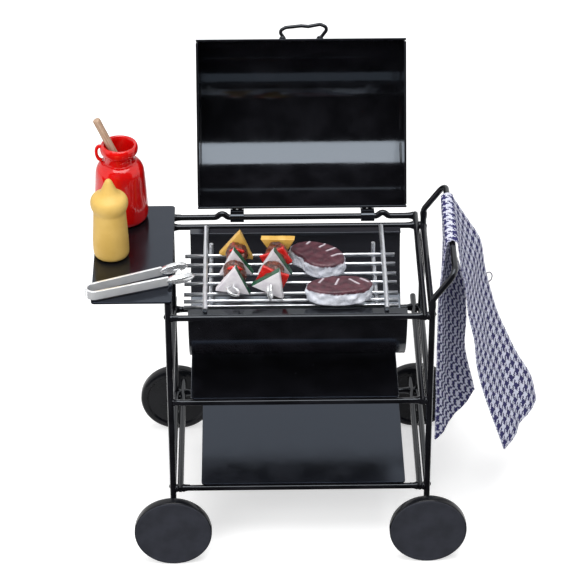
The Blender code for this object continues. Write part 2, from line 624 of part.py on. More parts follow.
def build_tongs(mats):
    """Two sprung arms that meet at a bend on the left and carry a shell-shaped jaw each.

    The jaws stop one gap short of the lid's left end, so the lid can close beside them.
    """
    turn = Matrix.Rotation(math.radians(TONGS_TURN_DEGREES), 4, "Z")
    tip = turn @ Vector((TONGS_LENGTH + TONGS_JAW_LENGTH - TONGS_SHEET, -TONGS_SPREAD, 0.0))
    x = LID_LEFT - GAP - tip.x
    y = SHELF_FRONT + TONGS_PLACE_SHARE * SHELF_DEPTH
    place = Matrix.Translation((x, y, SHELF_TOP + GAP)) @ turn
    radius = TONGS_BEND
    for name, side in (("tongs_front_arm", -1), ("tongs_rear_arm", 1)):
        line = []
        for i in range(7):
            angle = math.radians(90.0) * i / 6
            line.append(Vector((radius - radius * math.cos(angle), side * radius * math.sin(angle), 0.0)))
        line[0].y = side * GAP / 2
        line.append(Vector((TONGS_LENGTH, side * TONGS_SPREAD, 0.0)))
        bm = bmesh.new()
        rows = []
        for i, point in enumerate(line):
            ahead = line[min(i + 1, len(line) - 1)] - line[max(i - 1, 0)]
            if i == 0:
                ahead = Vector((0.0, side * GAP, 0.0))
            across = Vector((-ahead.y, ahead.x, 0.0)).normalized() * TONGS_SHEET / 2
            up = Vector((0.0, 0.0, TONGS_WIDTH))
            rows.append([bm.verts.new(point + a + b) for a, b in
                         ((-across, up * 0), (across, up * 0), (across, up), (-across, up))])
        for a, b in zip(rows, rows[1:]):
            for i in range(4):
                bm.faces.new((a[i], a[(i + 1) % 4], b[(i + 1) % 4], b[i]))
        bm.faces.new(rows[0])
        bm.faces.new(rows[-1][::-1])
        arm = add_mesh(name, bm, mats["chrome"])
        bm = bmesh.new()
        bmesh.ops.create_uvsphere(bm, u_segments=16, v_segments=8, radius=1.0)
        jaw_size = Vector((TONGS_JAW_LENGTH, TONGS_JAW_WIDTH, TONGS_JAW_HEIGHT))
        bmesh.ops.scale(bm, vec=jaw_size / 2, verts=bm.verts)
        middle = (TONGS_LENGTH + jaw_size.x / 2 - TONGS_SHEET, side * TONGS_SPREAD, jaw_size.z / 2)
        bmesh.ops.translate(bm, vec=middle, verts=bm.verts)
        jaw = add_mesh("jaw", bm, mats["chrome"])
        joined(arm, [jaw], "UNION")
        arm.data.transform(place)


def triangle(turn_degrees):
    """Return a slice's three-cornered (x, z) outline, turned about the skewer."""
    reach = SLICE_SIDE / math.sqrt(3.0)
    corners = []
    for i in range(3):
        angle = math.radians(90.0 + 120.0 * i + turn_degrees)
        corners.append((reach * math.cos(angle), reach * math.sin(angle)))
    return corners


def build_skewer(number, start, angles, slice_turns, mats):
    """One skewer: a wire with a finger ring, and the food threaded on it."""
    turn_degrees, tilt_degrees, roll_degrees = angles
    pieces = []
    y = SKEWER_TAIL
    for i, turn in enumerate(slice_turns):
        pieces.append(add_mesh(f"slice_{i}", slice_of(triangle(turn), y, SLICE_THICKNESS), mats["food"]))
        y += SLICE_THICKNESS - FOOD_LAP
        if i + 1 < len(slice_turns):
            steps = [math.tau * k / MEAT_SIDES for k in range(MEAT_SIDES)]
            round_outline = [(MEAT_RADIUS * math.cos(a), MEAT_RADIUS * math.sin(a)) for a in steps]
            pieces.append(add_mesh(f"meat_{i}", slice_of(round_outline, y, MEAT_THICKNESS), mats["food"]))
            y += MEAT_THICKNESS - FOOD_LAP
    end = y + SKEWER_TIP
    hole = as_mesh(wire("hole", [(0, SKEWER_TAIL - CUT_OVERRUN, 0), (0, y + CUT_OVERRUN, 0)],
                        SKEWER_WIRE + 2 * GAP, mats["food"], THIN_SIDES_RESOLUTION))
    food = joined(pieces[0], pieces[1:], "UNION")
    food = joined(food, [hole], "DIFFERENCE")
    food.name = f"skewer_{number}_food"
    food.data.name = food.name
    ring = [(0.0, end, 0.0), (0.0, 0.0, 0.0)]
    roll = Matrix.Rotation(math.radians(roll_degrees), 4, "Y")
    for i in range(1, 14):
        angle = math.radians(SKEWER_RING_START_DEGREES + SKEWER_RING_SWEEP_DEGREES * i / 13)
        spoke = Vector((math.sin(angle), math.cos(angle) - 1.0, 0.0))
        ring.append(roll @ (spoke * SKEWER_RING))
    skewer = as_mesh(wire(f"skewer_{number}", ring, SKEWER_WIRE, mats["chrome"],
                          THIN_SIDES_RESOLUTION))
    turned_up = (Matrix.Rotation(math.radians(turn_degrees), 4, "Z")
                 @ Matrix.Rotation(math.radians(tilt_degrees), 4, "X"))
    lowest = min((turned_up @ v.co).z for v in food.data.vertices)
    place = Matrix.Translation((RACK_LEFT + start[0], start[1], FOOD_Z - lowest)) @ turned_up
    for obj in (food, skewer):
        obj.data.transform(place)


def build_steak(name, length, width, place, turn_degrees, dent_share, mats):
    """A thick steak with a rounded edge and, where it has a dent, a kidney shape."""
    outline = []
    for i in range(24):
        angle = math.tau * i / 24
        from_dent = (math.degrees(angle) - STEAK_DENT_DEGREES) / STEAK_DENT_SPREAD_DEGREES
        pull = 1.0 - dent_share * math.exp(-from_dent ** 2)
        outline.append((length / 2 * pull * math.cos(angle), width / 2 * pull * math.sin(angle), 0.0))
    bm = extruded(outline, (0, 0, STEAK_HEIGHT))
    level = [e for e in bm.edges if abs(e.verts[0].co.z - e.verts[1].co.z) < STEAK_HEIGHT / 2]
    bmesh.ops.bevel(bm, geom=level, offset=STEAK_EDGE, segments=2, profile=0.5, affect="EDGES")
    steak = add_mesh(name, bm, mats["steak"])
    steak.data.transform(Matrix.Translation((RACK_LEFT + place[0], place[1], FOOD_Z))
                         @ Matrix.Rotation(math.radians(turn_degrees), 4, "Z"))


def towel_line(v):
    """Return the towel's (x, z) middle line at share v of its width, from the inner hem to the outer."""
    def mix(front, rear):
        return front * (1 - v) + rear * v
    over = WIRE_RADIUS + TOWEL_WRAP + TOWEL_THICKNESS / 2
    wave = TOWEL_FOLD * math.sin(math.tau * TOWEL_WAVES * v)
    outer = []
    inner = []
    table = zip(TOWEL_DROP_SHARES, OUTER_FRONT_SHARES, OUTER_REAR_SHARES,
                INNER_FRONT_SHARES, INNER_REAR_SHARES)
    for drop, out_front, out_rear, in_front, in_rear in table:
        flare = mix(out_front, out_rear) * TOWEL_FLARE + wave * drop
        outer.append((HANDLE_X + over + flare, HANDLE_Z - TOWEL_DROP * drop))
        flare = mix(in_front, in_rear) * TOWEL_FLARE + wave * drop
        inner.append((HANDLE_X - over + flare, HANDLE_Z - TOWEL_INNER_DROP * drop))
    crown = []
    for i in range(1, 6):
        angle = math.pi - math.pi * i / 6
        crown.append((HANDLE_X + over * math.cos(angle), HANDLE_Z + over * math.sin(angle)))
    return inner[::-1] + crown + outer


def build_towel(mats):
    """The cloth that hangs over the side handle, with its main folds."""
    steps = 12
    bm = bmesh.new()
    faces = {}
    for i in range(steps + 1):
        v = i / steps
        line = [Vector((x, TOWEL_FRONT + v * TOWEL_WIDTH, z)) for x, z in towel_line(v)]
        for j, point in enumerate(line):
            ahead = line[min(j + 1, len(line) - 1)] - line[max(j - 1, 0)]
            out = Vector((ahead.z, 0.0, -ahead.x)).normalized() * TOWEL_THICKNESS / 2
            faces[i, j] = (bm.verts.new(point - out), bm.verts.new(point + out))
    rows = len(line)
    for i in range(steps):
        for j in range(rows - 1):
            for k in (0, 1):
                bm.faces.new([faces[a, b][k] for a, b in ((i, j), (i + 1, j), (i + 1, j + 1), (i, j + 1))])
    for i in range(steps):
        for j in (0, rows - 1):
            bm.faces.new((faces[i, j][0], faces[i + 1, j][0], faces[i + 1, j][1], faces[i, j][1]))
    for j in range(rows - 1):
        for i in (0, steps):
            bm.faces.new((faces[i, j][0], faces[i, j + 1][0], faces[i, j + 1][1], faces[i, j][1]))
    add_mesh("towel", bm, mats["cloth"], 80.0)


def stand_on_origin():
    """Move the whole toy so that the middle of its box stands over the origin."""
    bpy.context.view_layer.update()
    view = bpy.context.evaluated_depsgraph_get()
    points = []
    for obj in bpy.context.scene.objects:
        mesh = bpy.data.meshes.new_from_object(obj.evaluated_get(view))
        points += [obj.matrix_world @ v.co for v in mesh.vertices]
        bpy.data.meshes.remove(mesh)
    middle = [(min(p[k] for p in points) + max(p[k] for p in points)) / 2 for k in (0, 1)]
    shift = Matrix.Translation((-middle[0], -middle[1], 0.0))
    for obj in bpy.context.scene.objects:
        obj.matrix_world = shift @ obj.matrix_world


def main():
    """Build every piece."""
    clear_scene()
    mats = {
        "black": finish("black_enamel", (0.012, 0.012, 0.014), 0.22, 0.0),
        "tyre": finish("wheel_plastic", (0.04, 0.042, 0.045), 0.45, 0.0),
        "chrome": finish("bright_wire", (0.80, 0.81, 0.83), 0.15, 1.0),
        "jar": finish("red_gloss", (0.66, 0.01, 0.01), 0.08, 0.0),
        "stick": finish("bare_wood", (0.62, 0.40, 0.24), 0.6, 0.0),
        "mustard": finish("mustard_yellow", (0.72, 0.48, 0.13), 0.4, 0.0),
        "food": finish("toy_food", (0.60, 0.45, 0.30), 0.6, 0.0),
        "steak": finish("toy_steak", (0.20, 0.06, 0.06), 0.5, 0.0),
        "cloth": finish("checked_cloth", (0.45, 0.45, 0.62), 0.9, 0.0),
    }
    build_frame(mats)
    build_hinge_rod(mats)
    build_handle(mats)
    build_shelves(mats)
    build_firebox(mats)
    build_lid(mats)
    build_lid_handle(mats)
    build_straps(mats)
    build_wheels(mats)
    build_rack(mats)
    build_jar(mats)
    build_bottle(mats)
    build_tongs(mats)
    build_skewer(1, FIRST_SKEWER_PLACE, FIRST_SKEWER_DEGREES, FIRST_SLICE_TURNS, mats)
    build_skewer(2, SECOND_SKEWER_PLACE, SECOND_SKEWER_DEGREES, SECOND_SLICE_TURNS, mats)
    build_steak("rear_steak", REAR_STEAK_LENGTH, REAR_STEAK_WIDTH, REAR_STEAK_PLACE, REAR_STEAK_TURN,
                REAR_STEAK_DENT_SHARE, mats)
    build_steak("front_steak", FRONT_STEAK_LENGTH, FRONT_STEAK_WIDTH, FRONT_STEAK_PLACE, FRONT_STEAK_TURN,
                FRONT_STEAK_DENT_SHARE, mats)
    build_towel(mats)
    stand_on_origin()


main()
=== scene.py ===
"""Dress the dollhouse barbecue cart: enamel, bright wire, sculpted food, jar, bottle, tongs and towel.

X runs to the right of the cook, Y from the front to the back, Z up. The classes hold their sizes in
millimetres, and each mesh is turned into metres when it is finished.
"""

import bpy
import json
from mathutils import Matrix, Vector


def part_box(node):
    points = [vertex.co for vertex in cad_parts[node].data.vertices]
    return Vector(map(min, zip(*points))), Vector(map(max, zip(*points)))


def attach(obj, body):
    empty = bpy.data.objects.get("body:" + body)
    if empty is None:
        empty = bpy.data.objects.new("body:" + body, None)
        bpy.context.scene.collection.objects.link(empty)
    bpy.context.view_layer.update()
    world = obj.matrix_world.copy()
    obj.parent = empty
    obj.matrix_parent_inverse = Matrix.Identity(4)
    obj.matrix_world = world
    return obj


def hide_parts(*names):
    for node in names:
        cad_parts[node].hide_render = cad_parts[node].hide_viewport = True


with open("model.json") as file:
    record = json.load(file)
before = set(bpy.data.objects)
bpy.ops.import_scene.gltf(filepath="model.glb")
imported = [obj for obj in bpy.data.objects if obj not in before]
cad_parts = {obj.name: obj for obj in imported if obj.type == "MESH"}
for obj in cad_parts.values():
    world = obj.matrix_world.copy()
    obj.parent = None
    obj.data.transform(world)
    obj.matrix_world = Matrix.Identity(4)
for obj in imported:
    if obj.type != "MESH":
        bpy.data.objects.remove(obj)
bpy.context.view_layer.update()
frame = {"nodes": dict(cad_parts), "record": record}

import json
import logging
import math
from dataclasses import dataclass
from enum import Enum

import bmesh
import bpy
from mathutils import Matrix, Vector, noise

Pair = tuple[float, float]
Triple = tuple[float, float, float]
Quad = tuple[float, float, float, float]
Row = tuple[Pair, ...]
BMesh, BMFace = bmesh.types.BMesh, bmesh.types.BMFace
Material, Object = bpy.types.Material, bpy.types.Object

LOG = logging.getLogger("barbecue")
MM = 0.001
SEW_DISTANCE = 0.002
FLAT_DEGREES = 0.3
EDGE_SEGMENTS = 2
EDGE_DEGREES = 40.0
WHITE = (1.0, 1.0, 1.0, 1.0)
ORIGIN = Vector((0.0, 0.0, 0.0))
UP = Vector((0.0, 0.0, 1.0))
ENDS = (("front", -1.0), ("rear", 1.0))
SIDES = ("left", "right")
LEVELS = ("top", "middle", "low")


class Slot(Enum):
    """Material slots of the record."""
    ENAMEL = "black_enamel"
    SHEET = "slate_sheet"
    WHEEL = "wheel_plastic"
    BRIGHT = "bright_wire"
    FOOD = "toy_food"
    STEAK = "toy_steak"
    JAR = "red_gloss"
    WOOD = "bare_wood"
    MUSTARD = "mustard_yellow"
    CLOTH = "checked_cloth"


@dataclass(frozen=True)
class Tone:
    """A colour as a swatch card gives it, 0 to 255 a channel."""
    red: int
    green: int
    blue: int

    def linear(self) -> Quad:
        """Return the colour as a shader takes it."""
        shares = [channel / 255 for channel in (self.red, self.green, self.blue)]
        curved = [s / 12.92 if s <= 0.04045 else ((s + 0.055) / 1.055) ** 2.4 for s in shares]
        return (*curved, 1.0)


class Level:
    """One output of a node, with arithmetic that adds Math nodes."""

    def __init__(self, nodes: "Nodes", socket: bpy.types.NodeSocket) -> None:
        """Keep the tree and the socket."""
        self.nodes = nodes
        self.socket = socket

    def other(self, output: int | str) -> "Level":
        """Return another output of the same node."""
        return Level(self.nodes, self.socket.node.outputs[output])

    def math(self, operation: str, first: "Level | float", second: "Level | float" = 0.0) -> "Level":
        """Add one Math node.

        Args:
            operation: the Math node's operation.
            first: its upper socket.
            second: its lower socket.

        Returns:
            The node's output.
        """
        return self.nodes.node("ShaderNodeMath", {"operation": operation}, {0: first, 1: second})

    def __add__(self, other: "Level | float") -> "Level":
        """Add."""
        return self.math("ADD", self, other)

    def __rsub__(self, other: float) -> "Level":
        """Subtract, reflected."""
        return self.math("SUBTRACT", other, self)

    def __mul__(self, other: "Level | float") -> "Level":
        """Multiply."""
        return self.math("MULTIPLY", self, other)

    def __mod__(self, other: float) -> "Level":
        """Take the remainder, never below zero."""
        return self.math("FLOORED_MODULO", self, other)

    def __lt__(self, other: "Level | float") -> "Level":
        """Return 1 where this is less."""
        return self.math("LESS_THAN", self, other)

    def floor(self) -> "Level":
        """Round down."""
        return self.math("FLOOR", self)

    def sine(self) -> "Level":
        """Take the sine of radians."""
        return self.math("SINE", self)

    def biggest(self, other: "Level | float") -> "Level":
        """Return the larger value."""
        return self.math("MAXIMUM", self, other)


class Nodes:
    """A node tree under construction."""

    def __init__(self, tree: bpy.types.NodeTree) -> None:
        """Keep the tree."""
        self.tree = tree

    def node(self, kind: str, settings: dict | None = None, inputs: dict | None = None,
             output: int | str = 0) -> Level:
        """Add a node.

        Args:
            kind: the node's type.
            settings: its properties, set first; stops are (place, colour) pairs of a ramp.
            inputs: a value or a Level for each socket's name or number.
            output: the output to return.

        Returns:
            The chosen output.
        """
        made = self.tree.nodes.new(kind)
        for key, value in (settings or {}).items():
            if key == "stops":
                elements = made.color_ramp.elements
                while len(elements) < len(value):
                    elements.new(1.0)
                for element, (place, colour) in zip(elements, value):
                    element.position = place
                    element.color = colour
            else:
                setattr(made, key, value)
        for key, value in (inputs or {}).items():
            self.fill(made.inputs[key], value)
        return Level(self, made.outputs[output])

    def fill(self, socket: bpy.types.NodeSocket, value: "Level | Tone | float | tuple") -> None:
        """Link or set a socket.

        Args:
            socket: the socket.
            value: the Level to link, or the colour or number to set.
        """
        if isinstance(value, Level):
            self.tree.links.new(value.socket, socket)
        else:
            socket.default_value = value.linear() if isinstance(value, Tone) else value

    def seen(self) -> Level:
        """Return 1 for rays from the camera, a mirror or glass."""
        path = self.node("ShaderNodeLightPath", output="Is Camera Ray")
        return path.biggest(path.other("Is Glossy Ray")).biggest(path.other("Is Transmission Ray"))


class Recipe(Nodes):
    """A material under construction."""
    speck_core: float = 0.6

    def __init__(self, name: str) -> None:
        """Start a material with one Principled shader.

        Args:
            name: the material's name.
        """
        self.material = bpy.data.materials.new(name)
        self.material.use_nodes = True
        super().__init__(self.material.node_tree)
        self.shader = self.tree.nodes["Principled BSDF"]

    def dress(self, inputs: dict) -> Material:
        """Fill the shader's sockets.

        Args:
            inputs: a value or a Level for each socket's name.

        Returns:
            The material.
        """
        for key, value in inputs.items():
            self.fill(self.shader.inputs[key], value)
        return self.material

    def vector(self, operation: str, first: Level, second: "Level | float | tuple | None" = None,
               output: int | str = 0) -> Level:
        """Add one Vector Math node.

        Args:
            operation: the node's operation.
            first: its upper socket.
            second: its lower socket, or the factor of SCALE.
            output: the output to return.

        Returns:
            The chosen output.
        """
        inputs = {0: first}
        if second is not None:
            inputs["Scale" if operation == "SCALE" else 1] = second
        return self.node("ShaderNodeVectorMath", {"operation": operation}, inputs, output)

    def millimetres(self) -> Level:
        """Return the place on the object, in millimetres."""
        return self.vector("SCALE", self.node("ShaderNodeTexCoord", output="Object"), 1 / MM)

    def lumps(self, place: Level, size: float, detail: float = 2.0, warp: float = 0.0) -> Level:
        """Return noise from 0 to 1 with lumps of about a size in millimetres."""
        return self.node("ShaderNodeTexNoise", {},
                         {"Vector": place, "Scale": 1 / size, "Detail": detail, "Distortion": warp})

    def specks(self, place: Level, spacing: float, radius: float) -> Level:
        """Return 1 inside small round specks.

        Args:
            place: the place on the object, in millimetres.
            spacing: how far apart they lie.
            radius: their radius.

        Returns:
            1 inside, 0 outside and a soft edge between.
        """
        away = self.node("ShaderNodeTexVoronoi", {"feature": "F1"}, {"Vector": place, "Scale": 1 / spacing},
                         "Distance")
        return 1 - self.ramped(away * spacing, radius * self.speck_core, radius)

    def ramped(self, value: Level, low: float, high: float, start: float = 0.0, end: float = 1.0) -> Level:
        """Carry a value from one range to another, smoothly and clamped."""
        return self.node("ShaderNodeMapRange", {"interpolation_type": "SMOOTHSTEP"},
                         {0: value, 1: low, 2: high, 3: start, 4: end})

    def blended(self, share: "Level | float", first: "Level | Tone", second: "Level | Tone") -> Level:
        """Mix two colours by a share."""
        return self.node("ShaderNodeMix", {"data_type": "RGBA"}, {0: share, 6: first, 7: second}, 2)

    def mottled(self, cloud: Level, spread: Pair, first: "Level | Tone", second: Tone) -> Level:
        """Let a second colour in where a noise rises through a spread of values."""
        return self.blended(self.ramped(cloud, *spread), first, second)

    def relief(self, height: Level, depth: float) -> Level:
        """Return a normal raised by a height from 0 to 1, over a depth in millimetres."""
        return self.node("ShaderNodeBump", {}, {"Strength": 1.0, "Distance": depth * MM, "Height": height})


class Finish:
    """A paint, metal, cloth or clay."""
    name: str

    def mixed(self) -> Material:
        """Return the material, made the first time it is asked for."""
        if self.name in bpy.data.materials:
            return bpy.data.materials[self.name]
        recipe = Recipe(self.name)
        return recipe.dress(self.sockets(recipe, recipe.millimetres()))

    def sockets(self, recipe: Recipe, place: Level) -> dict:
        """Build the nodes.

        Args:
            recipe: the material.
            place: the place on the object, in millimetres.

        Returns:
            What goes into the shader's sockets.
        """
        raise NotImplementedError


@dataclass(frozen=True)
class Mottled(Finish):
    """Two tones in soft clouds, with an uneven gloss and a fine relief.

    The gloss follows marks, the size and detail of a noise of its own, or else the relief's grain. wear gives
    two values of that noise and the factor on the roughness at each.
    """
    name: str
    tone: Tone
    second: Tone
    roughness: float = 0.45
    grain: float = 0.5
    grain_depth: float = 0.03
    cloud_size: float = 3.0
    coat: float = 0.0
    coat_roughness: float = 0.12
    metal: float = 0.0
    cloud_detail: float = 3.0
    grain_detail: float = 3.0
    marks: Pair | None = None
    spread: Pair = (0.35, 0.7)
    wear: Quad = (0.3, 0.75, 0.85, 1.15)

    def sockets(self, recipe: Recipe, place: Level) -> dict:
        """Build the nodes.

        Args:
            recipe: the material.
            place: the place on the object, in millimetres.

        Returns:
            What goes into the shader's sockets.
        """
        cloud = recipe.lumps(place, self.cloud_size, self.cloud_detail)
        grain = recipe.lumps(place, self.grain, self.grain_detail)
        low, high, smooth, rough = self.wear
        return {
            "Base Color": recipe.mottled(cloud, self.spread, self.tone, self.second),
            "Metallic": self.metal,
            "Roughness": recipe.ramped(recipe.lumps(place, *self.marks) if self.marks else grain, low, high,
                                       self.roughness * smooth, self.roughness * rough),
            "Coat Weight": self.coat,
            "Coat Roughness": self.coat_roughness,
            "Normal": recipe.relief(grain, self.grain_depth),
        }


@dataclass(frozen=True)
class Enamel(Mottled):
    """Black paint with a slight orange peel and a few specks of dust; on the firebox, painted light makes the
    paint paler inside, towards the rear, where the front light reaches.
    """
    name: str = "enamel on wire"
    tone: Tone = Tone(13, 13, 16)
    second: Tone = Tone(24, 24, 28)
    roughness: float = 0.12
    grain: float = 1.1
    grain_depth: float = 0.012
    cloud_size: float = 7.0
    grain_detail: float = 1.0
    marks: Pair = (7.0, 3.0)
    spread: Pair = (0.35, 0.75)
    wear: Quad = (0.3, 0.7, 0.85, 1.2)
    dust: Tone = Tone(96, 98, 104)
    dust_spacing: float = 5.5
    dust_radius: float = 0.11
    dust_share: float = 0.8
    dust_roughness: float = 0.3
    gleam: Quad = (0.86, 0.92, 1.0, 1.0)
    bend: float = 1.5
    # inside and the span after it: painted light, a paler tone blended in along Y towards the rear of the
    # firebox, where the front light reaches
    inside: Tone | None = None
    painted_light_span: Pair = (-20.0, -4.0)

    def sockets(self, recipe: Recipe, place: Level) -> dict:
        """Build the nodes.

        Args:
            recipe: the material.
            place: the place on the object, in millimetres.

        Returns:
            What goes into the shader's sockets.
        """
        inputs = super().sockets(recipe, place)
        colour = inputs["Base Color"]
        # painted light: paler towards the rear, for the front light reaching into the firebox
        if self.inside:
            depth = recipe.node("ShaderNodeSeparateXYZ", {}, {0: place}, 1)
            colour = recipe.mottled(depth, self.painted_light_span, colour, self.inside)
        specks = recipe.specks(place, self.dust_spacing, self.dust_radius)
        inputs["Base Color"] = recipe.blended(specks * self.dust_share, colour, self.dust)
        inputs["Roughness"] += specks * self.dust_roughness
        return {**inputs, "Specular Tint": self.gleam, "IOR": self.bend}


@dataclass(frozen=True)
class WheelPlastic(Mottled):
    """Satin grey-black plastic with a few scuffs and faint rings from the lathe round one wheel's axle."""
    tone: Tone = Tone(51, 53, 62)
    second: Tone = Tone(44, 46, 54)
    roughness: float = 0.46
    grain: float = 0.35
    grain_depth: float = 0.01
    cloud_size: float = 4.0
    cloud_detail: float = 2.0
    grain_detail: float = 2.0
    marks: Pair = (4.0, 2.0)
    spread: Pair = (0.3, 0.7)
    wear: Quad = (0.3, 0.7, 0.92, 1.12)
    centre: Triple = (0.0, 0.0, 0.0)
    gloss: float = 0.5
    ring_step: float = 0.42
    ring_depth: float = 0.004
    scuff: Tone = Tone(86, 88, 94)
    scuff_spacing: float = 3.2
    scuff_radius: float = 0.10
    scuff_share: float = 0.5

    def sockets(self, recipe: Recipe, place: Level) -> dict:
        """Build the nodes.

        Args:
            recipe: the material.
            place: the place on the object, in millimetres.

        Returns:
            What goes into the shader's sockets.
        """
        place = recipe.vector("ADD", place, tuple(-c for c in self.centre))
        inputs = super().sockets(recipe, place)
        flat = recipe.vector("MULTIPLY", place, (1.0, 0.0, 1.0))
        rings = (recipe.vector("LENGTH", flat, output="Value") * (math.tau / self.ring_step)).sine()
        scuffs = recipe.specks(place, self.scuff_spacing, self.scuff_radius)
        inputs["Base Color"] = recipe.blended(scuffs * self.scuff_share, inputs["Base Color"], self.scuff)
        recipe.fill(inputs["Normal"].socket.node.inputs["Normal"], recipe.relief(rings, self.ring_depth))
        return {**inputs, "Specular IOR Level": self.gloss}


@dataclass(frozen=True)
class BrightMetal(Mottled):
    """Bright plated wire or strip."""
    metal: float = 1.0
    grain_detail: float = 1.0
    marks: Pair = (0.4, 3.0)
    wear: Quad = (0.3, 0.8, 0.7, 1.6)


@dataclass(frozen=True)
class BareWood(Finish):
    """A plain splint of pale wood with its grain along its length.

    In this finish and the next two, a roughness or coat of four numbers gives two values of a noise and what
    it comes to at each.
    """
    name: str = "bare wood"
    tone: Tone = Tone(192, 166, 144)
    grain_tone: Tone = Tone(166, 134, 108)
    lean_degrees: float = 23.0
    stretch: Triple = (4.0, 4.0, 0.22)
    streaks: Triple = (1.0, 4.0, 0.3)
    spread: Pair = (0.35, 0.7)
    roughness: Quad = (0.3, 0.7, 0.6, 0.75)
    depth: float = 0.05

    def sockets(self, recipe: Recipe, place: Level) -> dict:
        """Build the nodes.

        Args:
            recipe: the material.
            place: the place on the object, in millimetres.

        Returns:
            What goes into the shader's sockets.
        """
        upright = recipe.node("ShaderNodeMapping", {"vector_type": "POINT"},
                              {"Vector": place,
                               "Rotation": (0.0, math.radians(self.lean_degrees), 0.0)})
        streaks = recipe.lumps(recipe.vector("MULTIPLY", upright, self.stretch), *self.streaks)
        return {
            "Base Color": recipe.mottled(streaks, self.spread, self.tone, self.grain_tone),
            "Roughness": recipe.ramped(streaks, *self.roughness),
            "Normal": recipe.relief(streaks, self.depth),
        }


@dataclass(frozen=True)
class RoastMeat(Finish):
    """Glazed brown chunks with redder and darker patches."""
    name: str = "roast meat"
    tone: Tone = Tone(106, 52, 34)
    char: Tone = Tone(58, 28, 22)
    sauce: Tone = Tone(146, 44, 26)
    clouds: Triple = (1.6, 4.0, 0.6)
    spread: Pair = (0.42, 0.62)
    fibre_stretch: Triple = (1.0, 0.25, 1.0)
    fibres: Pair = (0.5, 3.0)
    sauce_shift: Triple = (40.0, 0.0, 9.0)
    sauce_clouds: Pair = (2.2, 2.0)
    sauce_spread: Pair = (0.56, 0.66)
    sauce_share: float = 0.7
    roughness: Quad = (0.3, 0.7, 0.22, 0.42)
    coat: Quad = (0.3, 0.6, 0.05, 0.3)
    coat_roughness: float = 0.1
    depth: float = 0.12

    def sockets(self, recipe: Recipe, place: Level) -> dict:
        """Build the nodes.

        Args:
            recipe: the material.
            place: the place on the object, in millimetres.

        Returns:
            What goes into the shader's sockets.
        """
        cloud = recipe.lumps(place, *self.clouds)
        fibre = recipe.lumps(recipe.vector("MULTIPLY", place, self.fibre_stretch), *self.fibres)
        colour = recipe.mottled(cloud, self.spread, self.tone, self.char)
        sauced = recipe.lumps(recipe.vector("ADD", place, self.sauce_shift), *self.sauce_clouds)
        sauced = recipe.ramped(sauced, *self.sauce_spread) * self.sauce_share
        return {
            "Base Color": recipe.blended(sauced, colour, self.sauce),
            "Roughness": recipe.ramped(fibre, *self.roughness),
            "Coat Weight": recipe.ramped(cloud, *self.coat),
            "Coat Roughness": self.coat_roughness,
            "Normal": recipe.relief(fibre + cloud, self.depth),
        }


@dataclass(frozen=True)
class SteakClay(Finish):
    """Browned top with raised pale strokes, and a lumpy pale rind of fat round the sides."""
    name: str = "steak clay"
    top: Tone = Tone(84, 44, 54)
    top_dark: Tone = Tone(62, 32, 42)
    fat: Tone = Tone(220, 223, 232)
    fat_shade: Tone = Tone(200, 204, 216)
    stroke: Tone = Tone(206, 196, 204)
    clouds: Pair = (1.8, 4.0)
    grain: Pair = (0.45, 3.0)
    top_spread: Pair = (0.35, 0.68)
    fat_spread: Pair = (0.35, 0.7)
    roughness: Quad = (0.3, 0.7, 0.38, 0.55)
    coat: float = 0.12
    coat_roughness: float = 0.2
    depth: float = 0.05

    def sockets(self, recipe: Recipe, place: Level) -> dict:
        """Build the nodes.

        Args:
            recipe: the material.
            place: the place on the object, in millimetres.

        Returns:
            What goes into the shader's sockets.
        """
        browned, stroke = (recipe.node("ShaderNodeAttribute", {"attribute_name": name}, output="Fac")
                           for name in ("browned", "stroke"))
        cloud = recipe.lumps(place, *self.clouds)
        grain = recipe.lumps(place, *self.grain)
        top = recipe.mottled(cloud, self.top_spread, self.top, self.top_dark)
        fat = recipe.mottled(cloud, self.fat_spread, self.fat, self.fat_shade)
        return {
            "Base Color": recipe.blended(stroke * browned, recipe.blended(browned, fat, top), self.stroke),
            "Roughness": recipe.ramped(grain, *self.roughness),
            "Coat Weight": browned * self.coat,
            "Coat Roughness": self.coat_roughness,
            "Normal": recipe.relief(grain, self.depth),
        }


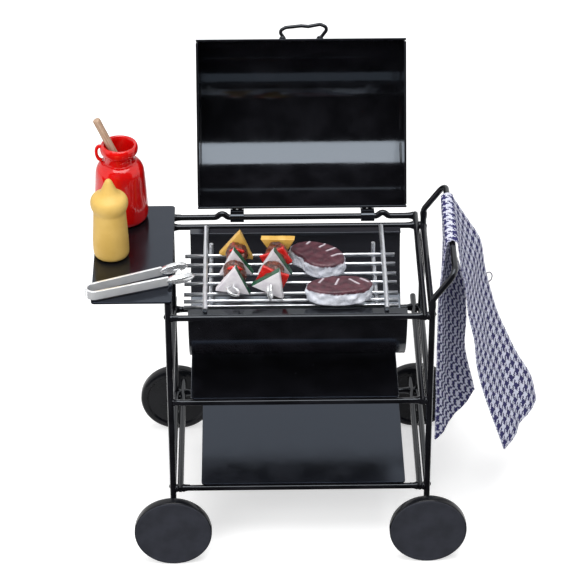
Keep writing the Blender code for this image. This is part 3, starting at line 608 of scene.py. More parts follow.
@dataclass(frozen=True)
class Houndstooth(Finish):
    """Bands of dark and pale threads in a two-over, two-under twill, read from the cloth's own map, with
    painted shade in the hollows between threads.
    """
    name: str = "houndstooth cloth"
    pale: Tone = Tone(230, 232, 246)
    pale_shade: Tone = Tone(214, 216, 234)
    navy: Tone = Tone(46, 44, 94)
    navy_shade: Tone = Tone(66, 64, 116)
    # painted shade: the blue-grey tone blended into the hollows between threads
    painted_hollow_shade: Tone = Tone(116, 118, 152)
    repeat: float = 3.0
    band: int = 4
    twill: int = 4
    thread_depth: float = 0.10
    wander: float = 0.22
    wander_scale: float = 1.6
    fuzz: Pair = (0.22, 3.0)
    fuzz_share: float = 0.5
    fuzz_spread: Pair = (0.3, 0.75)
    clouds: Pair = (1.3, 3.0)
    cloud_spread: Pair = (0.35, 0.7)
    # painted shade: how much of the hollow tone comes in as the thread's height falls
    painted_shade_ramp: Quad = (0.0, 0.55, 0.25, 0.0)
    roughness: float = 0.95
    gloss: float = 0.1

    def bent(self, recipe: Recipe) -> Level:
        """Let the threads wander a little, as hand-laid ones do.

        Args:
            recipe: the material.

        Returns:
            The place on the cloth's own map.
        """
        flat = recipe.node("ShaderNodeUVMap", {"uv_map": "cloth"})
        wander = recipe.node("ShaderNodeTexNoise", {},
                             {"Vector": flat, "Scale": self.wander_scale, "Detail": 2.0}, 1)
        offset = recipe.vector("SUBTRACT", wander, (0.5, 0.5, 0.5))
        return recipe.vector("ADD", flat, recipe.vector("SCALE", offset, 2 * self.wander))

    def sockets(self, recipe: Recipe, place: Level) -> dict:
        """Build the nodes.

        Args:
            recipe: the material.
            place: the place on the object, in millimetres.

        Returns:
            What goes into the shader's sockets.
        """
        axes = recipe.node("ShaderNodeSeparateXYZ", {}, {0: self.bent(recipe)})
        threads = 2 * self.band
        across, along = (axis * (threads / self.repeat) for axis in (axes, axes.other(1)))
        warp, weft = across.floor(), along.floor()
        warp_dark, weft_dark = ((line % threads) < self.band - 0.5 for line in (warp, weft))
        over = ((warp + weft) % self.twill) < self.twill / 2 - 0.5
        dark = over * warp_dark + (1 - over) * weft_dark
        warp_round, weft_round = (((line % 1.0) * math.pi).sine() for line in (across, along))
        height = over * warp_round + (1 - over) * weft_round
        fuzz = recipe.lumps(place, *self.fuzz)
        cloud = recipe.lumps(place, *self.clouds)
        pale = recipe.mottled(cloud, self.cloud_spread, self.pale, self.pale_shade)
        navy = recipe.mottled(fuzz, self.fuzz_spread, self.navy, self.navy_shade)
        # painted shade: colour drawn towards the hollow tone where the thread's height is low
        shade = recipe.ramped(height, *self.painted_shade_ramp)
        return {
            "Base Color": recipe.blended(shade, recipe.blended(dark, pale, navy), self.painted_hollow_shade),
            "Roughness": self.roughness,
            "Specular IOR Level": self.gloss,
            "Normal": recipe.relief(height + fuzz * self.fuzz_share, self.thread_depth),
        }


ENAMEL = Enamel()
SHEET_ENAMEL = Enamel("enamel on sheet", roughness=0.09, grain=2.4, grain_depth=0.008,
                      gleam=(0.78, 0.88, 1.0, 1.0), bend=1.7)
# the firebox's paler inside is painted light, a lighter tone towards the rear
FIREBOX_ENAMEL = Enamel("enamel on firebox", roughness=0.12, grain=2.4, grain_depth=0.008,
                        gleam=(0.78, 0.88, 1.0, 1.0), bend=1.6, inside=Tone(44, 44, 49))
SHELF_ENAMEL = Enamel("enamel on shelves", Tone(14, 14, 17), Tone(20, 20, 24), 0.17, 3.0, 0.008,
                      gleam=(0.50, 0.66, 0.95, 1.0), bend=1.6)
RACK_PLATE = BrightMetal("bright rack wire", Tone(240, 242, 246), Tone(224, 227, 233), 0.40, 2.2, 0.01)
TONGS_PLATE = BrightMetal("polished strip", Tone(240, 241, 243), Tone(226, 228, 231), 0.12, 1.4, 0.02,
                          metal=0.75)
ARM_PLATE = BrightMetal("plated strip", Tone(246, 247, 249), Tone(236, 238, 241), 0.14, 2.4, 0.01, metal=0.5)
GLAZE = Mottled("red glaze", Tone(216, 16, 12), Tone(194, 8, 8), 0.10, 3.5, 0.03, 6.0, 0.2, 0.04,
                cloud_detail=2.0, grain_detail=1.0, marks=(6.0, 2.0), spread=(0.3, 0.75),
                wear=(0.3, 0.8, 1.0, 1.8))
CHEESE = Mottled("cheese clay", Tone(220, 178, 92), Tone(206, 160, 70), 0.42, 0.45, 0.03, 2.5, 0.15)
FLESH = Mottled("pale slice clay", Tone(228, 225, 228), Tone(212, 207, 214), 0.5, 0.4, 0.04, 2.0)
RIND = Mottled("green rind clay", Tone(10, 82, 54), Tone(5, 62, 42), 0.35, 0.4, 0.03, 2.0, 0.3)
PEPPER = Mottled("red pepper clay", Tone(206, 32, 24), Tone(182, 20, 18), 0.25, 0.6, 0.04, 2.0, 0.5)
MUSTARD = Mottled("mustard clay", Tone(218, 181, 98), Tone(209, 170, 85), 0.55, 0.7, 0.012, 6.0, 0.0)
THREAD = Mottled("brown thread", Tone(96, 92, 110), Tone(70, 66, 88), 0.9, 0.2, 0.05, 0.6)
THREAD_BLUE = Mottled("selvedge thread", Tone(206, 208, 226), Tone(60, 58, 106), 0.9, 0.2, 0.05, 0.9)
BODY_OF = {node: body for body, nodes in frame["record"]["behaviour"]["bodies"].items() for node in nodes}


def box(node: str) -> tuple[Vector, Vector]:
    """Return a CAD node's lowest and highest corner, in millimetres."""
    low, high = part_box(node)
    return low / MM, high / MM


def eased(points: list[Vector], steps: int) -> list[Vector]:
    """Run a smooth curve through a row of points.

    Args:
        points: the points.
        steps: how many short lines replace each one.

    Returns:
        The finer row.
    """
    points = [Vector(p) for p in points]
    fine = []
    for i in range(len(points) - 1):
        a, b, c, d = (points[min(max(k, 0), len(points) - 1)] for k in (i - 1, i, i + 1, i + 2))
        for step in range(steps):
            t = step / steps
            fine.append(0.5 * (2 * b + (c - a) * t + (2 * a - 5 * b + 4 * c - d) * t ** 2
                               + (3 * b - a - 3 * c + d) * t ** 3))
    fine.append(points[-1])
    return fine


def finished(name: str, bm: BMesh, finishes: list[Finish], body: str,
             replaced: tuple[str, ...] = (), sharp: float = 50.0, scale: float = MM) -> Object:
    """Turn a bmesh into a piece that rides on a body.

    Args:
        name: the piece's name.
        bm: its shape.
        finishes: its finishes, in the order of the faces' material numbers.
        body: the body that it rides on.
        replaced: the CAD nodes that it stands for.
        sharp: the angle in degrees above which an edge stays sharp.
        scale: metres for one unit of the bmesh.

    Returns:
        The object.
    """
    bmesh.ops.scale(bm, vec=(scale,) * 3, verts=bm.verts)
    mesh = bpy.data.meshes.new(name)
    bm.to_mesh(mesh)
    bm.free()
    mesh.shade_smooth()
    mesh.set_sharp_from_angle(angle=math.radians(sharp))
    for finish in finishes:
        mesh.materials.append(finish.mixed())
    piece = bpy.data.objects.new(name, mesh)
    bpy.context.scene.collection.objects.link(piece)
    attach(piece, body)
    if replaced:
        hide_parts(*replaced)
    LOG.info("%s rides on %s", name, body)
    return piece


def broken(piece: Object, width: float, segments: int, degrees: float, harden: bool) -> None:
    """Break a piece's sharp edges with a bevel.

    Args:
        piece: the piece.
        width: the bevel's width, in millimetres.
        segments: its faces across.
        degrees: the angle above which an edge is sharp.
        harden: whether the flats keep their flat shading.
    """
    rounding = piece.modifiers.new("broken_edges", "BEVEL")
    rounding.width = width * MM
    rounding.segments = segments
    rounding.limit_method = "ANGLE"
    rounding.angle_limit = math.radians(degrees)
    rounding.harden_normals = harden


def dressed(node: str, finish: Finish, sharp: float = 50.0, edge: float = 0.0) -> Object:
    """Sew a copy of a CAD node's loose triangles, shade it smooth and break its sharp edges.

    Args:
        node: the CAD node.
        finish: its finish.
        sharp: the angle in degrees above which an edge stays sharp.
        edge: the width of the broken edges, in millimetres.

    Returns:
        The piece that stands for the node.
    """
    bm = bmesh.new()
    bm.from_mesh(frame["nodes"][node].data)
    bmesh.ops.remove_doubles(bm, verts=bm.verts, dist=SEW_DISTANCE * MM)
    bmesh.ops.dissolve_limit(bm, angle_limit=math.radians(FLAT_DEGREES), verts=bm.verts, edges=bm.edges)
    piece = finished(f"{node}_finish", bm, [finish], BODY_OF[node], (node,), sharp, 1.0)
    if edge:
        broken(piece, edge, EDGE_SEGMENTS, EDGE_DEGREES, True)
    return piece


def disc(bm: BMesh, centre: Vector, heading: Vector, radius: float,
         sides: int) -> BMFace:
    """Add a round face.

    Args:
        bm: the mesh to add to.
        centre: its middle.
        heading: the way that it looks.
        radius: its radius.
        sides: its number of corners.

    Returns:
        The face.
    """
    turn = UP.rotation_difference(Vector(heading)).to_matrix().to_4x4()
    made = bmesh.ops.create_circle(bm, cap_ends=True, segments=sides, radius=radius,
                                   matrix=Matrix.Translation(centre) @ turn)
    return made["verts"][0].link_faces[0]


def draw_out(bm: BMesh, face: BMFace, path: list[Vector],
             shares: list[float]) -> BMFace:
    """Extrude a face from stop to stop.

    Args:
        bm: the mesh.
        face: a face at the first stop.
        path: the stops.
        shares: the face's size at each stop.

    Returns:
        The face at the last stop.
    """
    heading = (path[1] - path[0]).normalized()
    for i in range(1, len(path)):
        step = path[min(i + 1, len(path) - 1)] - path[i - 1]
        ahead = step.normalized() if step.length > SEW_DISTANCE else heading
        turn = heading.rotation_difference(ahead).to_matrix().to_4x4()
        left_behind = face
        moved = bmesh.ops.extrude_face_region(bm, geom=[face])["geom"]
        face = next(part for part in moved if isinstance(part, BMFace))
        if i > 1 and left_behind.is_valid:
            bmesh.ops.delete(bm, geom=[left_behind], context="FACES_ONLY")
        matrix = (Matrix.Translation(path[i]) @ turn @ Matrix.Scale(shares[i] / shares[i - 1], 4)
                  @ Matrix.Translation(-path[i - 1]))
        bmesh.ops.transform(bm, matrix=matrix, verts=face.verts)
        heading = ahead
    return face


def tube(bm: BMesh, path: list[Vector], radii: list[float], sides: int = 16) -> None:
    """Draw a round bar along a path.

    Args:
        bm: the mesh to add to.
        path: its stops.
        radii: its radius at each stop.
        sides: its number of sides.
    """
    path = [Vector(p) for p in path]
    face = disc(bm, path[0], path[1] - path[0], radii[0], sides)
    draw_out(bm, face, path, radii)
    bmesh.ops.recalc_face_normals(bm, faces=bm.faces)


def turned(bm: BMesh, profile: list[Vector], centre: Vector, steps: int) -> None:
    """Turn a profile round an upright axis.

    Args:
        bm: an empty mesh.
        profile: its (radius, height) points.
        centre: where the axis meets height 0.
        steps: the faces of a full turn.
    """
    row = [bm.verts.new((p[0], 0.0, p[1])) for p in profile]
    edges = [bm.edges.new(pair) for pair in zip(row, row[1:])]
    bmesh.ops.spin(bm, geom=row + edges, cent=ORIGIN, axis=UP, angle=math.tau, steps=steps, use_merge=True)
    bmesh.ops.remove_doubles(bm, verts=bm.verts, dist=SEW_DISTANCE)
    bmesh.ops.recalc_face_normals(bm, faces=bm.faces)
    bmesh.ops.translate(bm, vec=centre, verts=bm.verts)


def thrown(profile: Row, radius: float, height: float, base: Vector, fine: int,
           steps: int) -> BMesh:
    """Turn a vessel.

    Args:
        profile: shares of the radius and the height, from the middle of the foot to the middle of the top.
        radius: its radius.
        height: its height.
        base: the middle of its foot.
        fine: how many short lines replace each step of the profile.
        steps: the faces of a full turn.

    Returns:
        The vessel.
    """
    bm = bmesh.new()
    points = eased([Vector((r * radius, h * height)) for r, h in profile], fine)
    turned(bm, [Vector((max(p.x, 0.0), max(p.y, 0.0))) for p in points], base, steps)
    return bm


def bead(bm: BMesh, place: Vector, size: Triple, turn: float = 0.0,
         fine: int = 3) -> None:
    """Add a stretched ball.

    Args:
        bm: the mesh to add to.
        place: its middle.
        size: its radius along each axis.
        turn: its turn about X, in degrees.
        fine: its subdivisions.
    """
    matrix = (Matrix.Translation(place) @ Matrix.Rotation(math.radians(turn), 4, "X")
              @ Matrix.Diagonal((*size, 1.0)))
    bmesh.ops.create_icosphere(bm, subdivisions=fine, radius=1.0, matrix=matrix)


def thickened(bm: BMesh, faces: list[BMFace], by: Triple) -> None:
    """Give faces a thickness.

    Args:
        bm: the mesh, with these faces alone.
        faces: the faces.
        by: the step from the old side to the new one.
    """
    moved = bmesh.ops.extrude_face_region(bm, geom=faces)["geom"]
    bmesh.ops.translate(bm, vec=by, verts=[part for part in moved if isinstance(part, bmesh.types.BMVert)])
    bmesh.ops.recalc_face_normals(bm, faces=bm.faces)


def roughened(bm: BMesh, size: float, depth: float, seed: float) -> None:
    """Push every vertex in or out by seeded noise.

    Args:
        bm: the mesh.
        size: the size of the lumps.
        depth: their height.
        seed: a number that gives other lumps.
    """
    bm.normal_update()
    offset = Vector((seed, -seed, 2 * seed))
    pushes = [v.normal * (noise.noise(v.co / size + offset) * depth) for v in bm.verts]
    for vertex, push in zip(bm.verts, pushes):
        vertex.co += push


@dataclass
class Studio:
    """Camera, pale floor, soft lights and dark cards."""
    target: Triple = (-6.0034, -15.5441, 55.0)
    azimuth: float = 1.0
    elevation: float = 34.47
    distance: float = 777.5
    lens: float = 176.70
    shift: Pair = (-0.018698, 0.077222)
    floor_reach: float = 3000.0
    floor_glow: float = 0.50
    floor_gloss_glow: float = 0.26
    card_front: float = -30.0
    card_reach: float = 900.0
    card_height: float = 1090.0
    box_size: Pair = (620.0, 552.0)
    box_place: Triple = (-20.0, -134.0, 800.0)
    box_power: float = 4.75
    fill_size: float = 700.0
    fill_place: Triple = (-420.0, -760.0, 620.0)
    fill_power: float = 5.3
    clip: Pair = (0.01, 20.0)
    floor_grey: float = 0.8
    card_grey: float = 0.01
    card_lift: float = 0.4
    card_share: float = 0.62
    lamp_aim: Triple = (0.0, 0.0, 40.0)
    surround: float = 0.42

    def aimed(self, obj: Object, place: Triple,
              at: Triple) -> None:
        """Put a camera or a lamp at a place and turn it to a point.

        Args:
            obj: the camera or lamp.
            place: its place.
            at: the point that it looks at.
        """
        place, at = Vector(place) * MM, Vector(at) * MM
        turn = (at - place).to_track_quat("-Z", "Y").to_matrix().to_4x4()
        obj.matrix_world = Matrix.Translation(place) @ turn
        bpy.context.scene.collection.objects.link(obj)

    def camera(self) -> None:
        """Add the camera at the photograph's viewing angle."""
        data = bpy.data.cameras.new("camera")
        data.lens = self.lens
        data.shift_x, data.shift_y = self.shift
        data.clip_start, data.clip_end = self.clip
        az, el = math.radians(self.azimuth), math.radians(self.elevation)
        forward = Vector((math.sin(az) * math.cos(el), math.cos(az) * math.cos(el), -math.sin(el)))
        camera = bpy.data.objects.new("camera", data)
        place = Vector(self.target) - forward * self.distance
        self.aimed(camera, tuple(place), self.target)
        bpy.context.scene.camera = camera

    def sheet(self, name: str, low: Pair, high: Pair) -> Object:
        """Add a flat rectangle.

        Args:
            name: its name.
            low: its lowest corner, in X and Y.
            high: its highest corner.

        Returns:
            The rectangle.
        """
        bm = bmesh.new()
        bmesh.ops.create_grid(bm, x_segments=1, y_segments=1, size=0.5)
        bmesh.ops.scale(bm, vec=(high[0] - low[0], high[1] - low[1], 1.0), verts=bm.verts)
        bmesh.ops.translate(bm, vec=((low[0] + high[0]) / 2, (low[1] + high[1]) / 2, 0.0), verts=bm.verts)
        bmesh.ops.scale(bm, vec=(MM,) * 3, verts=bm.verts)
        mesh = bpy.data.meshes.new(name)
        bm.to_mesh(mesh)
        bm.free()
        obj = bpy.data.objects.new(name, mesh)
        bpy.context.scene.collection.objects.link(obj)
        return obj

    def floor(self) -> None:
        """Add the floor, which keeps the shadow and shows white to the camera and to gloss."""
        reach = self.floor_reach
        floor = self.sheet("floor", (-reach, -reach), (reach, reach))
        recipe = Recipe("pale floor")
        cloth = recipe.node("ShaderNodeBsdfDiffuse", {}, {"Color": (*[self.floor_grey] * 3, 1.0)})
        path = recipe.node("ShaderNodeLightPath", output="Is Camera Ray")
        mirrored = path.other("Is Glossy Ray").biggest(path.other("Is Transmission Ray"))
        strength = path * self.floor_glow + mirrored * self.floor_gloss_glow
        glow = recipe.node("ShaderNodeEmission", {}, {"Color": WHITE, "Strength": strength})
        both = recipe.node("ShaderNodeAddShader", {}, {0: cloth, 1: glow})
        recipe.fill(recipe.tree.nodes["Material Output"].inputs["Surface"], both)
        floor.data.materials.append(recipe.material)

    def cards(self) -> None:
        """Add dark cards that only gloss sees, so black paint stays black towards the front."""
        recipe = Recipe("dark card")
        recipe.dress({"Base Color": (*[self.card_grey] * 3, 1.0), "Roughness": 1.0,
                      "Specular IOR Level": 0.0})
        flat = self.sheet("floor_card", (-self.card_reach, self.card_front - self.card_reach),
                          (self.card_reach, self.card_front))
        flat.data.transform(Matrix.Translation(UP * self.card_lift * MM))
        wall = self.sheet("front_card", (-self.card_reach, -self.card_height / 2),
                          (self.card_reach, self.card_height / 2))
        away = self.card_front - self.card_reach * self.card_share
        stand = Matrix.Translation(Vector((0.0, away, self.card_height / 2)) * MM)
        wall.data.transform(stand @ Matrix.Rotation(math.radians(90.0), 4, "X"))
        for card in (flat, wall):
            card.data.materials.append(recipe.material)
            for ray in ("camera", "diffuse", "shadow", "transmission"):
                setattr(card, f"visible_{ray}", False)

    def lights(self) -> None:
        """Add the large soft light overhead and a softer fill."""
        for name, power, size, place in (
                ("overhead", self.box_power, self.box_size, self.box_place),
                ("fill", self.fill_power, (self.fill_size, self.fill_size), self.fill_place)):
            data = bpy.data.lights.new(name, "AREA")
            data.shape = "RECTANGLE"
            data.size, data.size_y = size[0] * MM, size[1] * MM
            data.energy = power
            lamp = bpy.data.objects.new(name, data)
            self.aimed(lamp, place, self.lamp_aim)
            if name == "fill":
                lamp.visible_glossy = False

    def world(self) -> None:
        """Set an even surround that is white behind the toy."""
        world = bpy.data.worlds.new("surround")
        world.use_nodes = True
        bpy.context.scene.world = world
        nodes = Nodes(world.node_tree)
        background = world.node_tree.nodes["Background"].inputs
        nodes.fill(background["Color"], WHITE)
        nodes.fill(background["Strength"], nodes.seen() * (1.0 - self.surround) + self.surround)

    def build(self) -> None:
        """Add everything that isn't the toy."""
        bpy.context.scene.view_settings.view_transform = "Standard"
        self.camera()
        self.floor()
        self.cards()
        self.lights()
        self.world()


@dataclass
class WireFrame:
    """Legs, braces, rails and bars, with the solder where they meet.

    collar gives (place, flare) along a flared collar: below 0 in shares of its reach, above 0 in millimetres.
    socket gives (height over the leg's top, radius) of the joint between a right leg and the handle.
    lumps gives the size, depth and seed of the solder's unevenness.
    """
    wire: float = 1.7
    sides: int = 20
    collar_reach: float = 1.5
    collar: Row = ((-1.0, 1.002), (-0.55, 1.03), (-0.15, 1.12), (0.2, 1.3), (0.5, 1.35))
    bead: Triple = (0.75, 1.15, 1.15)
    socket: Row = ((-1.2, 0.86), (-0.4, 0.98), (0.7, 0.98), (1.4, 0.86))
    lumps: Triple = (1.1, 0.12, 3.0)
    in_line: float = 0.1
    stub_end: float = 0.1
    stub_trim: float = 1.3

    def flared(self, bm: BMesh, foot: Triple,
               heading: Triple) -> None:
        """Add a flared collar on a wire's end.

        Args:
            bm: the mesh to add to.
            foot: the middle of the wire's end face.
            heading: the way from that end towards the neighbour.
        """
        heading = Vector(heading)
        path = [Vector(foot) + heading * (share * self.collar_reach if share < 0 else share)
                for share, _ in self.collar]
        tube(bm, path, [self.wire / 2 * flare for _, flare in self.collar], self.sides)

    def leg_line(self, end: str, side: str) -> Triple:
        """Find the upright of a leg.

        Args:
            end: front or rear.
            side: left or right.

        Returns:
            The (x, y) of the wire's middle and the height of its top.
        """
        low, high = box(f"{end}_{side}_leg")
        y = high.y - self.wire / 2 if end == "front" else low.y + self.wire / 2
        return (low.x + high.x) / 2, y, high.z

    def across(self, bm: BMesh) -> None:
        """Add the collars of the front and rear crossbars and the hinge rod.

        Args:
            bm: the mesh to add to.
        """
        for name in [f"{end}_{level}_bar" for end, _ in ENDS for level in LEVELS] + ["hinge_rod"]:
            low, high = box(name)
            y, z = (low.y + high.y) / 2, low.z + self.wire / 2
            self.flared(bm, (low.x, y, z), (-1, 0, 0))
            self.flared(bm, (high.x, y, z), (1, 0, 0))

    def along(self, bm: BMesh, side: str, level: str) -> None:
        """Add the collars of one brace, and what joins its rail to the legs.

        Args:
            bm: the mesh to add to.
            side: left or right.
            level: top, middle or low.
        """
        low, high = box(f"{side}_{level}_brace")
        x, z = (low.x + high.x) / 2, (low.z + high.z) / 2
        self.flared(bm, (x, low.y, z), (0, -1, 0))
        self.flared(bm, (x, high.y, z), (0, 1, 0))
        rail_low, rail_high = box(f"{side}_{level}_rail")
        rail_x = (rail_low.x + rail_high.x) / 2
        if abs(rail_x - x) < self.in_line:
            self.flared(bm, (rail_x, rail_low.y, z), (0, -1, 0))
            return
        for end, _ in ENDS:
            bead(bm, ((rail_x + x) / 2, self.leg_line(end, side)[1], z), self.bead)

    def solder(self) -> None:
        """Add every collar and bead of solder as one piece."""
        bm = bmesh.new()
        self.across(bm)
        for side in SIDES:
            for level in LEVELS:
                self.along(bm, side, level)
        for end, _ in ENDS:
            x, y, top = self.leg_line(end, "right")
            tube(bm, [(x, y, top + rise) for rise, _ in self.socket], [radius for _, radius in self.socket],
                 self.sides)
        roughened(bm, *self.lumps)
        finished("solder_joints", bm, [ENAMEL], "cart", sharp=60.0)

    def trim(self, leg: Object, outward: float) -> None:
        """Shorten a leg's stub axle, which ends inside the closed wheel.

        Args:
            leg: the leg's piece.
            outward: 1 where outwards is towards the rear, -1 towards the front.
        """
        tip = max(vertex.co.y * outward for vertex in leg.data.vertices)
        for vertex in leg.data.vertices:
            if vertex.co.y * outward > tip - self.stub_end * MM:
                vertex.co.y -= outward * self.stub_trim * MM

    def build(self) -> None:
        """Dress the wires and add the solder."""
        for end, outward in ENDS:
            for side in SIDES:
                self.trim(dressed(f"{end}_{side}_leg", ENAMEL), outward)
        wires = [f"{end}_{level}_bar" for end, _ in ENDS for level in LEVELS]
        wires += [f"{side}_{level}_{kind}" for side in SIDES for level in LEVELS
                  for kind in ("brace", "rail")]
        for wire in wires + ["hinge_rod", "side_handle"]:
            dressed(wire, ENAMEL)
        self.solder()


@dataclass
class SheetMetal:
    """Shelves and firebox."""
    edge: float = 0.14

    def build(self) -> None:
        """Dress the plates."""
        for shelf in ("middle_shelf", "bottom_shelf", "side_shelf"):
            dressed(shelf, SHELF_ENAMEL, 40.0, self.edge)
        dressed("firebox", FIREBOX_ENAMEL, 30.0, self.edge)


@dataclass
class Lid:
    """Lid shell, its ends, straps and bail, and the beads that hold them together.

    left_seams and right_seams give the (start, end) angles of the beads inside each end. A lump gives
    (shares along its part, distance out, angle from the hinge, size, turn, fineness).
    """
    edge: float = 0.14
    strap_edge: float = 0.08
    hinge: Pair = (12.4559, 75.0)
    open_degrees: float = 116.0
    radius: float = 23.6
    sheet: float = 0.6
    forward: float = 25.8
    up: float = 1.2
    bead: float = 0.34
    bead_sides: int = 10
    bead_inset: float = 0.15
    bead_steps: float = 14.0
    bead_swell: Triple = (0.85, 0.3, 0.45)
    left_seams: Row = ((0.06, 0.30), (0.42, 3.06))
    right_seams: Row = ((0.06, 1.25), (1.42, 3.06))
    bail_lump: tuple = ((0.075, 0.83), 0.05, math.pi - 2.0 / 23.6, (0.95, 0.6, 0.8), 0.0, 3)
    strap_lump: tuple = ((0.28, 0.72), 0.25, 0.11, (0.6, 0.6, 0.5), 25.0, 2)

    def rim(self, radius: float, angle: float) -> Pair:
        """Return a place on the open lid.

        Args:
            radius: its distance from the barrel's axis.
            angle: its angle, 0 at the hinge and pi at the far edge.

        Returns:
            Its (y, z).
        """
        forward = self.forward - radius * math.cos(angle)
        up = self.up + radius * math.sin(angle)
        turn = math.radians(self.open_degrees)
        return (self.hinge[0] - forward * math.cos(turn) + up * math.sin(turn),
                self.hinge[1] + forward * math.sin(turn) + up * math.cos(turn))

    def seams(self) -> None:
        """Add the beads that join the ends to the shell, and the bail and straps to its back."""
        bm = bmesh.new()
        low, high = box("lid_shell")
        inner = self.radius - self.sheet - self.bead_inset
        base, swell, pace = self.bead_swell
        for x, spans in ((low.x + self.sheet, self.left_seams), (high.x - self.sheet, self.right_seams)):
            for start, end in spans:
                steps = max(4, int((end - start) * self.bead_steps))
                path = [Vector((x, *self.rim(inner, start + (end - start) * i / steps)))
                        for i in range(steps + 1)]
                radii = [self.bead * (base + swell * noise.noise(p * pace)) for p in path]
                tube(bm, path, radii, self.bead_sides)
        for node, (shares, out, angle, size, turn, fine) in (
                ("lid_handle", self.bail_lump), ("left_strap", self.strap_lump),
                ("right_strap", self.strap_lump)):
            low, high = box(node)
            for share in shares:
                x = low.x + share * (high.x - low.x)
                bead(bm, (x, *self.rim(self.radius + out, angle)), size, turn, fine)
        finished("lid_seams", bm, [ENAMEL], "lid", sharp=60.0)

    def build(self) -> None:
        """Dress the lid."""
        dressed("lid_shell", SHEET_ENAMEL, 30.0, self.edge)
        for side in SIDES:
            dressed(f"lid_{side}_end", SHEET_ENAMEL, 40.0, self.edge)
        for side in SIDES:
            dressed(f"{side}_strap", SHEET_ENAMEL, 40.0, self.strap_edge)
        dressed("lid_handle", ENAMEL)
        self.seams()


@dataclass
class Wheels:
    """Four solid wheels with closed outer faces, a dished inner face and a blind bore.

    The profile gives (radius, place along the axle), from the bottom of the bore round to the outer face.
    """
    profile: Row = (
        (0.0, 0.95), (0.95, 0.95), (0.95, -1.6), (2.4, -1.6), (2.9, -1.1), (8.4, -1.1), (8.9, -1.6),
        (9.6, -1.6), (10.1, -1.47), (10.47, -1.1), (10.6, -0.6), (10.6, 1.0), (10.55, 1.24), (10.42, 1.44),
        (10.22, 1.56), (9.98, 1.6), (9.7, 1.585), (9.4, 1.54), (9.1, 1.53), (2.7, 1.53), (2.5, 1.545),
        (2.3, 1.57), (2.0, 1.58), (0.0, 1.58))
    steps: int = 128
    tread_share: float = 0.85
    tread: Tone = Tone(22, 23, 27)
    tread_shade: Tone = Tone(16, 17, 21)
    tread_roughness: float = 0.2
    tread_gloss: float = 0.22

    def wheel(self, end: str, side: str, outward: float) -> None:
        """Turn one wheel about its own axle.

        Args:
            end: front or rear.
            side: left or right.
            outward: 1 where its outer face looks to the rear, -1 to the front.
        """
        node = f"{end}_{side}_wheel"
        low, high = box(node)
        centre = (low + high) / 2
        bm = bmesh.new()
        turned(bm, [Vector(p) for p in self.profile], ORIGIN, self.steps)
        lay = Matrix.Translation(centre) @ Matrix.Rotation(math.radians(-90.0 * outward), 4, "X")
        bmesh.ops.transform(bm, matrix=lay, verts=bm.verts)
        bm.normal_update()
        for part in bm.faces:
            part.material_index = 1 if part.normal.y * outward < self.tread_share else 0
        face = WheelPlastic(f"wheel plastic {end} {side}", centre=tuple(centre))
        tread = WheelPlastic(f"wheel tread {end} {side}", self.tread, self.tread_shade, self.tread_roughness,
                             centre=tuple(centre), gloss=self.tread_gloss)
        finished(f"{node}_solid", bm, [face, tread], BODY_OF[node], (node,), 35.0)

    def build(self) -> None:
        """Turn the four wheels."""
        for end, outward in ENDS:
            for side in SIDES:
                self.wheel(end, side, outward)


@dataclass
class Rack:
    """The bright wire rack."""

    def build(self) -> None:
        """Dress the rack."""
        dressed("grill_rack", RACK_PLATE, 55.0)


class Filling(Enum):
    """What a three-cornered slice is cut from."""
    CHEESE = (CHEESE,)
    RINDED = (FLESH, RIND)


